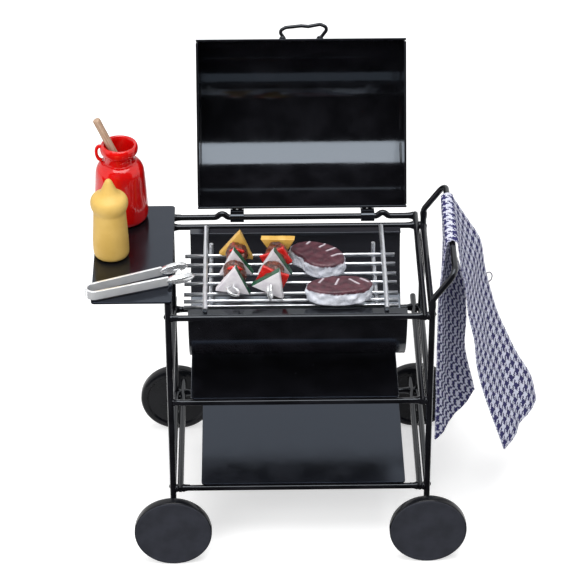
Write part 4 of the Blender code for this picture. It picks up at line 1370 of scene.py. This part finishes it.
@dataclass
class Kebab:
    """One skewer with its slices, meat and pepper.

    peppers gives each pepper's (place along the skewer, turn, width, height), and rings each strip's place.
    Lumps give the size and depth of an unevenness.
    """
    number: int
    origin: Pair
    turn: float
    tilt: float
    slice_turns: Triple
    rinds: Pair
    peppers: tuple[Quad, ...]
    rings: tuple[float, ...] = ()
    fillings: tuple[Filling, ...] = (Filling.RINDED, Filling.RINDED, Filling.CHEESE)
    side: float = 9.4
    thickness: float = 1.9
    meat_radius: float = 2.95
    meat_length: float = 6.8
    lap: float = 0.1
    tail: float = 1.3
    rind: float = 0.17
    slice_edge: float = 0.22
    slice_lumps: Pair = (2.2, 0.16)
    longest: float = 1.2
    cuts: int = 4
    meat_square: Pair = (0.45, 0.8)
    meat_fine: int = 6
    meat_lumps: Pair = (2.4, 0.7)
    meat_pits: Pair = (0.8, 0.22)
    pepper_steps: int = 14
    pepper_cup: float = -0.035
    pepper_wave: Pair = (0.15, 2.0)
    pepper_thickness: float = 1.0
    pepper_edge: float = 0.28
    ring_steps: int = 24
    ring_sides: int = 14
    ring_span: Pair = (122.0, -72.0)
    ring_rise: float = 0.12
    ring_sway: float = 0.25
    ring_radius: float = 0.55
    ring_ends: Pair = (0.12, 0.76)
    ring_lumps: Pair = (1.2, 0.14)

    def start(self, index: int) -> float:
        """Return where a slice starts along the skewer."""
        return self.tail + index * (self.thickness + self.meat_length - 2 * self.lap)

    def place(self) -> Matrix:
        """Return the matrix that puts the kebab on the rack, as its CAD food lies there."""
        turned_up = (Matrix.Rotation(math.radians(self.turn), 4, "Z")
                     @ Matrix.Rotation(math.radians(self.tilt), 4, "X"))
        reach = self.side / math.sqrt(3.0)
        lowest = 0.0
        for i, turn in enumerate(self.slice_turns):
            for corner in range(3):
                angle = math.radians(90.0 + 120.0 * corner + turn)
                for y in (self.start(i), self.start(i) + self.thickness):
                    point = Vector((reach * math.cos(angle), y, reach * math.sin(angle)))
                    lowest = min(lowest, (turned_up @ point).z)
        low, _ = box(f"skewer_{self.number}_food")
        return Matrix.Translation((*self.origin, low.z - lowest)) @ turned_up

    def threaded(self, part: str, bm: BMesh, own: Matrix, finishes: tuple[Finish, ...],
                 sharp: float) -> None:
        """Put one piece of food on the skewer.

        Args:
            part: its name.
            bm: its shape.
            own: its place on the skewer.
            finishes: its finishes.
            sharp: the angle in degrees above which an edge stays sharp.
        """
        bmesh.ops.transform(bm, matrix=self.place() @ own, verts=bm.verts)
        finished(f"kebab_{self.number}_{part}", bm, list(finishes), f"kebab_{self.number}",
                 (f"skewer_{self.number}_food",), sharp)

    def slice(self, index: int) -> None:
        """Add one three-cornered slice.

        Args:
            index: its number, from the ring's end.
        """
        filling = self.fillings[index]
        bm = bmesh.new()
        face = disc(bm, ORIGIN, UP, self.side / math.sqrt(3.0), 3)
        corner = face.verts[0].co
        spin = math.radians(90.0 + self.slice_turns[index]) - math.atan2(corner.y, corner.x)
        for angle, axis in ((spin, "Z"), (math.radians(90.0), "X")):
            bmesh.ops.rotate(bm, cent=ORIGIN, matrix=Matrix.Rotation(angle, 3, axis), verts=bm.verts)
        thickened(bm, [face], (0, self.thickness, 0))
        bmesh.ops.bevel(bm, geom=bm.edges[:], offset=self.slice_edge, segments=3, profile=0.5, affect="EDGES",
                        material=-1)
        if filling is Filling.RINDED:
            angle = math.radians(self.rinds[index])
            out = Vector((math.cos(angle), 0.0, math.sin(angle)))
            away = self.side / math.sqrt(12.0) - self.rind
            bmesh.ops.bisect_plane(bm, geom=bm.verts[:] + bm.edges[:] + bm.faces[:], plane_co=out * away,
                                   plane_no=out)
            for part in bm.faces:
                part.material_index = 1 if part.calc_center_median().dot(out) > away else 0
        bmesh.ops.triangulate(bm, faces=bm.faces[:])
        long = [e for e in bm.edges if e.calc_length() > self.longest]
        bmesh.ops.subdivide_edges(bm, edges=long, cuts=self.cuts, use_grid_fill=True)
        roughened(bm, *self.slice_lumps, 5.0 * self.number + index)
        own = Matrix.Translation((0, self.start(index), 0))
        self.threaded(f"slice_{index + 1}", bm, own, filling.value, 40.0)

    def meat(self, index: int) -> None:
        """Add one glazed chunk.

        Args:
            index: its number, from the ring's end.
        """
        start = self.start(index) + self.thickness - self.lap
        bm = bmesh.new()
        bmesh.ops.create_icosphere(bm, subdivisions=self.meat_fine, radius=1.0)
        around_power, along_power = self.meat_square
        for vertex in bm.verts:
            x, y, z = vertex.co
            around = math.hypot(x, z)
            grow = self.meat_radius * around ** around_power / max(around, 1e-6)
            along = math.copysign(abs(y) ** along_power, y) * self.meat_length / 2
            vertex.co = Vector((x * grow, along, z * grow))
        roughened(bm, *self.meat_lumps, 11.0 * self.number + 3 * index)
        roughened(bm, *self.meat_pits, 7.0 * self.number + index)
        own = Matrix.Translation((0, start + self.meat_length / 2, 0))
        self.threaded(f"meat_{index + 1}", bm, own, (RoastMeat(),), 180.0)

    def pepper(self, index: int, y: float, turn: float, across: float, tall: float) -> None:
        """Add one cupped square of pepper, threaded between the meat and a slice.

        Args:
            index: its number.
            y: its place along the skewer.
            turn: its turn about the skewer, in degrees.
            across: its width.
            tall: its height.
        """
        bm = bmesh.new()
        bmesh.ops.create_grid(bm, x_segments=self.pepper_steps, y_segments=self.pepper_steps, size=0.5)
        bmesh.ops.scale(bm, vec=(across, tall, 1.0), verts=bm.verts)
        wave, size = self.pepper_wave
        for vertex in bm.verts:
            sway = wave * noise.noise(vertex.co / size + Vector((index, 0, 0)))
            vertex.co.z = self.pepper_cup * vertex.co.length_squared + sway
        thickened(bm, bm.faces[:], (0, 0, self.pepper_thickness))
        rim = [e for e in bm.edges if e.calc_face_angle(0.0) > math.radians(50.0)]
        bmesh.ops.bevel(bm, geom=rim, offset=self.pepper_edge, segments=3, profile=0.5, affect="EDGES",
                        material=-1)
        own = (Matrix.Translation((0, y, 0)) @ Matrix.Rotation(math.radians(turn), 4, "Y")
               @ Matrix.Rotation(math.radians(90.0), 4, "X"))
        self.threaded(f"pepper_{index + 1}", bm, own, (PEPPER,), 60.0)

    def ring(self, index: int, y: float) -> None:
        """Add one strip of pepper wrapped over a chunk.

        Args:
            index: its number.
            y: its place along the skewer.
        """
        bm = bmesh.new()
        shares = [i / self.ring_steps for i in range(self.ring_steps + 1)]
        first, sweep = self.ring_span
        angles = [math.radians(first + sweep * share) for share in shares]
        radius = self.meat_radius + self.ring_rise
        path = [Vector((radius * math.cos(a), y + self.ring_sway * math.sin(3 * a), radius * math.sin(a)))
                for a in angles]
        thin, width = self.ring_ends
        radii = [self.ring_radius * math.sin(math.pi * (thin + width * share)) ** 0.5 for share in shares]
        tube(bm, path, radii, self.ring_sides)
        roughened(bm, *self.ring_lumps, 2.0 + index)
        self.threaded(f"strip_{index + 1}", bm, Matrix.Identity(4), (PEPPER,), 60.0)

    def build(self) -> None:
        """Thread the food and dress the skewer."""
        for index in range(3):
            self.slice(index)
        for index in range(2):
            self.meat(index)
        for index, pepper in enumerate(self.peppers):
            self.pepper(index, *pepper)
        for index, y in enumerate(self.rings):
            self.ring(index, y)
        dressed(f"skewer_{self.number}", TONGS_PLATE, 60.0)


def limited(value: float) -> float:
    """Keep a value between 0 and 1."""
    return min(max(value, 0.0), 1.0)


@dataclass
class Steak:
    """One thick clay steak.

    foot gives (height, share of the outline) from the underside up, shoulder the same by depth under the top.
    edge, lumps and dimples give (depth, size) of a noise, after a mean for edge and dimples.
    """
    node: str
    centre: Pair
    length: float
    width: float
    turn: float
    dent: float
    strokes: tuple[Row, ...]
    height: float = 4.6
    dent_degrees: float = 235.0
    dent_spread: float = 34.4
    sides: int = 168
    foot: Row = ((0.0, 0.86), (0.10, 0.92), (0.32, 0.965), (0.62, 0.99))
    side_steps: int = 11
    side_less: float = 1.4
    side_swell: float = 0.012
    shoulder: Row = ((0.42, 0.975), (0.2, 0.945), (0.07, 0.91))
    top_rings: int = 24
    top_share: float = 0.87
    top_step: float = 0.035
    lift: float = 0.02
    edge: tuple[float, ...] = (0.80, 0.13, 2.4, 0.05, 0.8)
    edge_blur: float = 0.05
    lumps: tuple[float, ...] = (0.85, 2.1, 0.25, 0.9)
    lumps_rise: float = 6.0
    dimples: tuple[float, ...] = (0.05, 0.12, 1.6)
    stroke_width: float = 0.30
    stroke_core: float = 1.25
    stroke_height: float = 0.14
    top_sink: float = 0.10

    def stops(self) -> list[Pair]:
        """Return (height, share of the outline) from the underside to the middle of the top."""
        rows = list(self.foot)
        low, share = rows[-1]
        for i in range(1, self.side_steps + 1):
            swell = self.side_swell * math.sin(math.pi * i / self.side_steps)
            rows.append((low + (self.height - self.side_less) * i / self.side_steps, share + swell))
        rows += [(self.height - depth, share) for depth, share in self.shoulder]
        return rows + [(self.height, self.top_share - self.top_step * i) for i in range(self.top_rings)]

    def stroke_away(self, point: Vector) -> float:
        """Measure how far a point is from the nearest stroke.

        Args:
            point: the point, seen from above.

        Returns:
            The distance.
        """
        pairs = [(Vector(a), Vector(b)) for stroke in self.strokes for a, b in zip(stroke, stroke[1:])]
        nearest = [a + (b - a) * limited((point - a).dot(b - a) / (b - a).length_squared) for a, b in pairs]
        return min((point - near).length for near in nearest)

    def raised(self) -> BMesh:
        """Return the plain steak, lying on its CAD solid's underside."""
        bm = bmesh.new()
        face = disc(bm, ORIGIN, UP, 1.0, self.sides)
        stops = self.stops()
        for vertex in bm.verts:
            angle = math.atan2(vertex.co.y, vertex.co.x) % math.tau
            from_dent = (math.degrees(angle) - self.dent_degrees) / self.dent_spread
            pull = stops[0][1] * (1.0 - self.dent * math.exp(-from_dent ** 2))
            vertex.co = Vector((self.length / 2 * pull * math.cos(angle),
                                self.width / 2 * pull * math.sin(angle), 0))
        draw_out(bm, face, [UP * z for z, _ in stops], [share for _, share in stops])
        bmesh.ops.recalc_face_normals(bm, faces=bm.faces)
        spin = Matrix.Rotation(math.radians(self.turn), 4, "Z")
        low, _ = box(self.node)
        lay = Matrix.Translation((*self.centre, low.z + self.lift)) @ spin
        bmesh.ops.transform(bm, matrix=lay, verts=bm.verts)
        bm.normal_update()
        return bm

    def build(self) -> None:
        """Raise the outline, then lump the fat and lay the strokes."""
        bm = self.raised()
        foot = box(self.node)[0].z
        browned, stroked = (bm.verts.layers.float.new(name) for name in ("browned", "stroke"))
        mean, edge_depth, edge_size, fine_depth, fine_size = self.edge
        lump_depth, lump_size, pit_depth, pit_size = self.lumps
        swell, dimple_depth, dimple_size = self.dimples
        for vertex in bm.verts:
            rise = (vertex.co.z - foot) / self.height
            steep = 1.0 - abs(vertex.normal.z)
            edge = (mean + edge_depth * noise.noise(vertex.co / edge_size)
                    + fine_depth * noise.noise(vertex.co / fine_size))
            mask = vertex[browned] = limited((rise - edge) / self.edge_blur)
            away = self.stroke_away(vertex.co.xy)
            raised = vertex[stroked] = limited(self.stroke_core - away / self.stroke_width)
            lump = (noise.noise(vertex.co / lump_size) * lump_depth
                    + noise.noise(vertex.co / pit_size) * pit_depth)
            push = lump * min(rise * self.lumps_rise, 1.0) * (1.0 - mask) * steep
            push += (dimple_depth * noise.noise(vertex.co / dimple_size) + swell) * mask
            vertex.co += vertex.normal * push
            vertex.co.z += (self.stroke_height * raised * mask * max(vertex.normal.z, 0.0)
                            - self.top_sink * mask)
        finished(f"{self.node}_clay", bm, [SteakClay()], BODY_OF[self.node], (self.node,), 180.0)


@dataclass
class SauceJar:
    """The jar of sauce with its rolled lip and small ear."""
    centre: Pair = (-54.36, 4.09)
    radius: float = 7.4
    height: float = 23.0
    profile: Row = (
        (0.0, 0.0), (0.80, 0.0), (0.93, 0.012), (0.985, 0.045), (1.0, 0.10), (0.99, 0.20), (0.962, 0.37),
        (0.935, 0.50), (0.91, 0.60), (0.875, 0.665), (0.81, 0.712), (0.72, 0.747), (0.63, 0.766),
        (0.575, 0.775), (0.552, 0.80), (0.548, 0.835), (0.56, 0.865), (0.62, 0.878), (0.675, 0.895),
        (0.70, 0.925), (0.695, 0.96), (0.66, 0.988), (0.61, 0.999), (0.555, 0.992), (0.515, 0.965),
        (0.495, 0.92), (0.485, 0.86), (0.475, 0.78), (0.455, 0.71), (0.40, 0.692), (0.0, 0.689))
    ear: Row = (
        (0.60, 0.955), (0.72, 0.967), (0.81, 0.945), (0.845, 0.895), (0.825, 0.84), (0.765, 0.80),
        (0.66, 0.775))
    ear_radius: float = 0.52
    ear_swell: float = 0.12
    ear_turns: float = 6.0
    lumps: Triple = (5.0, 0.10, 4.0)

    def build(self) -> None:
        """Turn the jar and add its ear."""
        base = Vector((*self.centre, box("sauce_jar")[0].z))
        bm = thrown(self.profile, self.radius, self.height, base, 4, 96)
        path = eased([base + Vector((-r * self.radius, 0.0, h * self.height)) for r, h in self.ear], 5)
        radii = [self.ear_radius * (1.0 + self.ear_swell * math.cos(self.ear_turns * i / len(path)))
                 for i in range(len(path))]
        tube(bm, path, radii, 16)
        roughened(bm, *self.lumps)
        finished("sauce_jar_glaze", bm, [GLAZE], "jar", ("sauce_jar",), 60.0)


@dataclass
class DipStick:
    """The round stick that stands in the sauce; stops gives (share of the length, share of the radius)."""
    radius: float = 1.05
    length: float = 15.2
    lean: float = 23.0
    stops: Row = (
        (-0.5, 0.82), (-0.488, 0.96), (-0.47, 1.0), (-0.2, 0.985), (0.1, 1.0), (0.3, 0.98), (0.472, 1.0),
        (0.49, 0.95), (0.5, 0.80))
    sides: int = 28
    lumps: Triple = (1.0, 0.06, 8.0)

    def build(self) -> None:
        """Draw the stick along its lean, with broken ends."""
        low, high = box("dip_stick")
        lean = math.radians(self.lean)
        along = Vector((-math.sin(lean), 0.0, math.cos(lean)))
        bm = bmesh.new()
        tube(bm, [(low + high) / 2 + along * (share * self.length) for share, _ in self.stops],
             [self.radius * width for _, width in self.stops], self.sides)
        roughened(bm, *self.lumps)
        finished("dip_stick_wood", bm, [BareWood()], BODY_OF["dip_stick"], ("dip_stick",), 60.0)


@dataclass
class MustardBottle:
    """The squat bottle with its pointed cap."""
    centre: Pair = (-56.50, -15.35)
    radius: float = 5.2
    height: float = 23.6
    profile: Row = (
        (0.0, 0.0), (0.66, 0.0), (0.82, 0.008), (0.905, 0.032), (0.935, 0.08), (0.932, 0.18), (0.908, 0.30),
        (0.880, 0.42), (0.855, 0.52), (0.842, 0.575), (0.865, 0.60), (0.92, 0.632), (0.965, 0.672),
        (0.965, 0.712), (0.93, 0.745), (0.85, 0.772), (0.73, 0.792), (0.60, 0.810), (0.485, 0.834),
        (0.39, 0.867), (0.305, 0.907), (0.235, 0.945), (0.165, 0.977), (0.09, 0.994), (0.0, 1.0))
    lumps: Triple = (6.0, 0.12, 6.0)

    def build(self) -> None:
        """Turn the bottle."""
        base = Vector((*self.centre, box("mustard_bottle")[0].z))
        bm = thrown(self.profile, self.radius, self.height, base, 5, 80)
        roughened(bm, *self.lumps)
        finished("mustard_bottle_clay", bm, [MUSTARD], "mustard", ("mustard_bottle",), 60.0)


@dataclass
class Tongs:
    """Sprung strip tongs with fluted shell jaws."""
    pivot: Triple = (-62.234, -35.9941, 81.1)
    turn: float = 21.0
    strip_width: float = 2.5
    strip: float = 0.7
    bend: float = 2.0
    spread: float = 2.6
    length: float = 21.94
    jaw: Triple = (8.0, 3.2, 2.5)
    gap: float = 0.3
    jaw_sheet: float = 0.28
    jaw_cut: float = 0.35
    flutes: int = 7
    flute_depth: float = 0.10
    flute_base: float = 0.55
    flute_length: float = 0.03
    bend_steps: int = 12
    arm_steps: int = 10
    round_edge: float = 0.32
    round_segments: int = 5
    round_degrees: float = 50.0

    def place(self) -> Matrix:
        """Return the matrix that lays the tongs on the side shelf."""
        return Matrix.Translation(self.pivot) @ Matrix.Rotation(math.radians(self.turn), 4, "Z")

    def path(self, side: int) -> list[Vector]:
        """Find the middle line of one arm.

        Args:
            side: -1 for the front arm, 1 for the rear one.

        Returns:
            Its points, from the spring end to the jaw.
        """
        path = []
        for i in range(self.bend_steps + 1):
            angle = math.radians(90.0) * i / self.bend_steps
            path.append(Vector((self.bend * (1 - math.cos(angle)), side * self.bend * math.sin(angle), 0.0)))
        path[0].y = side * self.gap / 2
        for i in range(1, self.arm_steps + 1):
            share = i / self.arm_steps
            path.append(Vector((self.bend + (self.length - self.bend) * share,
                                side * (self.bend + (self.spread - self.bend) * share), 0.0)))
        return [p + UP * self.strip_width / 2 for p in path]

    def arm(self, side: int) -> BMesh:
        """Bend one strip along its line.

        Args:
            side: -1 for the front arm, 1 for the rear one.

        Returns:
            The strip.
        """
        bm = bmesh.new()
        path = self.path(side)
        face = disc(bm, path[0], Vector((0.0, side, 0.0)), math.sqrt(2.0), 4)
        square = Matrix.Rotation(math.radians(45.0), 4, "Y")
        size = Matrix.Diagonal((self.strip / 2, 1.0, self.strip_width / 2, 1.0))
        matrix = Matrix.Translation(path[0]) @ size @ square @ Matrix.Translation(-path[0])
        bmesh.ops.transform(bm, matrix=matrix, verts=face.verts)
        draw_out(bm, face, path, [1.0] * len(path))
        bmesh.ops.recalc_face_normals(bm, faces=bm.faces)
        return bm

    def jaw_of(self, side: int) -> BMesh:
        """Cup and flute one jaw.

        Args:
            side: -1 for the front jaw, 1 for the rear one.

        Returns:
            The jaw.
        """
        bm = bmesh.new()
        bmesh.ops.create_uvsphere(bm, u_segments=64, v_segments=32, radius=1.0)
        bmesh.ops.rotate(bm, cent=ORIGIN, matrix=Matrix.Rotation(math.radians(90.0), 3, "Y"), verts=bm.verts)
        outward = Vector((0, -side, 0))
        bmesh.ops.bisect_plane(bm, geom=bm.verts[:] + bm.edges[:] + bm.faces[:],
                               plane_co=outward * self.jaw_cut, plane_no=outward, clear_outer=True)
        long, wide, tall = (size / 2 for size in self.jaw)
        for vertex in bm.verts:
            x, y, z = vertex.co
            fan = math.atan2(z, abs(y) + self.flute_base)
            flute = 1.0 + self.flute_depth * math.cos(self.flutes * 2.0 * fan) * limited(x + self.flute_base)
            stretch = 1.0 - self.flute_length + self.flute_length * flute
            vertex.co = Vector((x * long * stretch, y * wide * flute, z * tall * flute))
        bmesh.ops.recalc_face_normals(bm, faces=bm.faces)
        bmesh.ops.solidify(bm, geom=bm.faces[:], thickness=self.jaw_sheet)
        middle = Vector((self.length + self.jaw[0] / 2 - self.strip, side * self.spread, self.jaw[2] / 2))
        bmesh.ops.translate(bm, vec=middle, verts=bm.verts)
        return bm

    def build(self) -> None:
        """Make both arms and both jaws."""
        for node, side in (("tongs_front_arm", -1), ("tongs_rear_arm", 1)):
            for part, bm, plate, sharp in (("strip", self.arm(side), ARM_PLATE, 40.0),
                                           ("jaw", self.jaw_of(side), TONGS_PLATE, 50.0)):
                bmesh.ops.transform(bm, matrix=self.place(), verts=bm.verts)
                piece = finished(f"{node}_{part}", bm, [plate], BODY_OF[node], (node,), sharp)
                if part == "strip":
                    broken(piece, self.round_edge, self.round_segments, self.round_degrees, False)


@dataclass
class Towel:
    """The checked cloth over the side handle, with its hanging loop."""
    bar: Pair = (34.7966, 88.4)
    front: float = -23.8441
    width: float = 23.8
    over: float = 1.6
    fold: float = 0.22
    waves: float = 1.5
    outer_drop: float = 68.0
    inner_drop: float = 64.3
    flare: float = 27.0
    thickness: float = 0.45
    cut_length: float = 137.5
    drops: tuple[float, ...] = (0.0, 0.1, 0.2, 0.33, 0.45, 0.6, 0.75, 0.88, 1.0)
    outer_front: tuple[float, ...] = (0.0, 0.035, 0.09, 0.13, 0.20, 0.25, 0.35, 0.46, 0.56)
    outer_rear: tuple[float, ...] = (0.0, 0.15, 0.29, 0.345, 0.42, 0.54, 0.71, 0.89, 0.96)
    inner_front: tuple[float, ...] = (0.0, -0.03, -0.05, -0.06, -0.06, -0.06, -0.06, -0.05, -0.05)
    inner_rear: tuple[float, ...] = (0.0, 0.03, 0.10, 0.20, 0.27, 0.295, 0.30, 0.35, 0.42)
    loop_place: float = 25.5
    stitch: float = 1.25
    thread: float = 0.11
    thread_swing: float = 0.14
    thread_reach: float = 0.19
    thread_ends: float = 0.004
    loop_thread: float = 0.16
    loop_stops: tuple[Triple, ...] = (
        (-0.2, -0.4, 1.2), (0.9, -0.2, 1.5), (1.6, -0.1, 0.4), (1.3, -0.2, -1.1), (0.3, -0.4, -1.7))
    slack: float = 3.2
    ripple: Triple = (0.15, 11.0, 5.0)
    crease: Triple = (0.3, 5.0, 14.0)
    hem_wave: Pair = (0.35, 9.0)
    hem_fray: Pair = (0.22, 120.0)
    crown_steps: int = 6
    across_steps: int = 56
    along_steps: int = 260

    def drop(self, side: int, length: float, front: tuple[float, ...], rear: tuple[float, ...],
             share: float) -> list[Vector]:
        """Return one drop of the cloth, from the handle down.

        Args:
            side: 1 for the outer drop, -1 for the inner one.
            length: how far it hangs.
            front: the flare at each of the drops, at the front edge.
            rear: the same at the rear edge.
            share: the place across the cloth.

        Returns:
            The (x, z) points.
        """
        wave = self.fold * math.sin(math.tau * self.waves * share)
        points = []
        for drop, at_front, at_rear in zip(self.drops, front, rear):
            flare = (at_front * (1 - share) + at_rear * share) * self.flare + wave * drop
            points.append(Vector((self.bar[0] + side * self.over + flare, self.bar[1] - length * drop)))
        return points

    def line(self, share: float) -> list[Vector]:
        """Return the (x, z) line of the cloth from its inner hem to its outer hem.

        Args:
            share: the place across the cloth, 0 at the front and 1 at the rear.

        Returns:
            The points of the line.
        """
        outer = self.drop(1, self.outer_drop, self.outer_front, self.outer_rear, share)
        inner = self.drop(-1, self.inner_drop, self.inner_front, self.inner_rear, share)
        crown = []
        for i in range(1, self.crown_steps):
            angle = math.pi - math.pi * i / self.crown_steps
            crown.append(Vector((self.bar[0] + self.over * math.cos(angle),
                                 self.bar[1] + self.over * math.sin(angle))))
        return eased(inner[::-1] + crown + outer, 6)

    def at(self, line: list[Vector], share: float) -> Vector:
        """Return the point at a share of a line's length.

        Args:
            line: the line's points.
            share: the share.

        Returns:
            The point.
        """
        lengths = [(b - a).length for a, b in zip(line, line[1:])]
        left = share * sum(lengths)
        for point, following, length in zip(line, line[1:], lengths):
            if left <= length:
                return point.lerp(following, left / length)
            left -= length
        return line[-1]

    def point(self, line: list[Vector], across: float, along: float) -> Vector:
        """Return a point of the cloth, with its ripples and its uneven selvedge.

        Args:
            line: the (x, z) line of the cloth at this place across it.
            across: the share from the front edge to the rear edge.
            along: the share from the inner hem to the outer hem.

        Returns:
            The point, in millimetres.
        """
        x, z = self.at(line, along)
        low = min(abs(along - 0.5) * self.slack, 1.0)
        depth, turns_across, turns_along = self.ripple
        ripple = depth * low * math.sin(turns_across * across + turns_along * along)
        depth, per_width, per_length = self.crease
        ripple += depth * low * noise.noise(Vector((across * per_width, along * per_length, 0.0)))
        depth, pace = self.hem_wave
        hem = depth * low * noise.noise(Vector((across * pace, 3.0, along * pace)))
        if abs(across - 0.5) > 0.49:
            depth, pace = self.hem_fray
            hem += depth * noise.noise(Vector((round(across), 7.0, along * pace)))
        return Vector((x + ripple, self.front + across * self.width + hem, z))

    def build(self) -> None:
        """Lay a fine grid over the handle and weave its map."""
        bm = bmesh.new()
        bmesh.ops.create_grid(bm, x_segments=self.across_steps, y_segments=self.along_steps, size=0.5)
        cloth = bm.loops.layers.uv.new("cloth")
        flat = {vertex: (vertex.co.x + 0.5, vertex.co.y + 0.5) for vertex in bm.verts}
        for part in bm.faces:
            for loop in part.loops:
                across, along = flat[loop.vert]
                loop[cloth].uv = (across * self.width, along * self.cut_length)
        lines = {}
        for vertex in bm.verts:
            across, along = flat[vertex]
            key = round(across, 5)
            if key not in lines:
                lines[key] = self.line(across)
            vertex.co = self.point(lines[key], across, along)
        bmesh.ops.recalc_face_normals(bm, faces=bm.faces)
        towel = finished("towel_cloth", bm, [Houndstooth()], "cloth", ("towel",), 180.0)
        body = towel.modifiers.new("cloth_body", "SOLIDIFY")
        body.thickness = self.thickness * MM
        body.offset = 0.0
        self.loop()
        self.selvedge()

    def selvedge(self) -> Object:
        """Add the weft thread that turns back in small loops along the front edge."""
        bm = bmesh.new()
        line = self.line(0.0)
        count = 4 * int(self.cut_length / self.stitch)
        path = []
        for i in range(count + 1):
            along = self.thread_ends + (1.0 - 2 * self.thread_ends) * i / count
            turn = math.pi / 2 * i
            wander = 1.0 + 0.5 * noise.noise(Vector((i * 0.37, 5.0, 0.0)))
            step = Vector((self.thread_swing * math.cos(turn),
                           -self.thread_reach * (1 + math.sin(turn)), 0.0))
            path.append(self.point(line, 0.0, along) + step * wander)
        path = eased(path, 2)
        tube(bm, path, [self.thread] * len(path), 6)
        return finished("towel_selvedge", bm, [THREAD_BLUE], "cloth", ("towel",), 60.0)

    def loop(self) -> Object:
        """Add the small loop of thread on the outer edge."""
        bm = bmesh.new()
        x, z = self.at(self.line(1.0), 0.5 + self.loop_place / self.cut_length)
        corner = Vector((x, self.front + self.width, z))
        path = eased([corner + Vector(stop) for stop in self.loop_stops], 6)
        tube(bm, path, [self.loop_thread] * len(path), 8)
        return finished("towel_loop", bm, [THREAD], "cloth", ("towel",), 60.0)


def main() -> None:
    """Build every sub-assembly in order."""
    logging.basicConfig(level=logging.INFO, format="%(name)s: %(message)s")
    Studio().build()
    WireFrame().build()
    SheetMetal().build()
    Lid().build()
    Wheels().build()
    Rack().build()
    Kebab(1, (-23.60, -29.34), -3.0, 1.0, (-6.0, 4.0, -8.0), (24.0, 34.0), (), (4.9, 13.4)).build()
    Kebab(2, (-13.80, -31.84), -7.0, 4.0, (-24.0, 1.0, 183.0), (126.0, 31.0),
          ((4.6, 22.0, 7.6, 5.6), (13.2, -28.0, 7.4, 5.4))).build()
    Steak("rear_steak", (-1.20, -14.94), 16.1, 11.6, -28.0, 0.38,
          (((-3.7, -10.4), (-2.9, -9.2)), ((-0.3, -12.0), (1.0, -10.9), (1.3, -10.0)),
           ((1.6, -14.0), (3.2, -12.8), (4.6, -12.0)), ((2.9, -16.6), (4.4, -15.6), (6.0, -15.3)))).build()
    Steak("front_steak", (4.70, -30.14), 17.8, 8.6, 4.0, 0.0,
          (((-0.8, -29.6), (0.3, -27.6)), ((3.5, -30.5), (4.4, -27.9)),
           ((9.7, -30.3), (7.9, -28.6), (7.3, -28.0)), ((12.2, -29.2), (10.3, -27.7)))).build()
    SauceJar().build()
    DipStick().build()
    MustardBottle().build()
    Tongs().build()
    Towel().build()


if __name__ == "__main__":
    main()
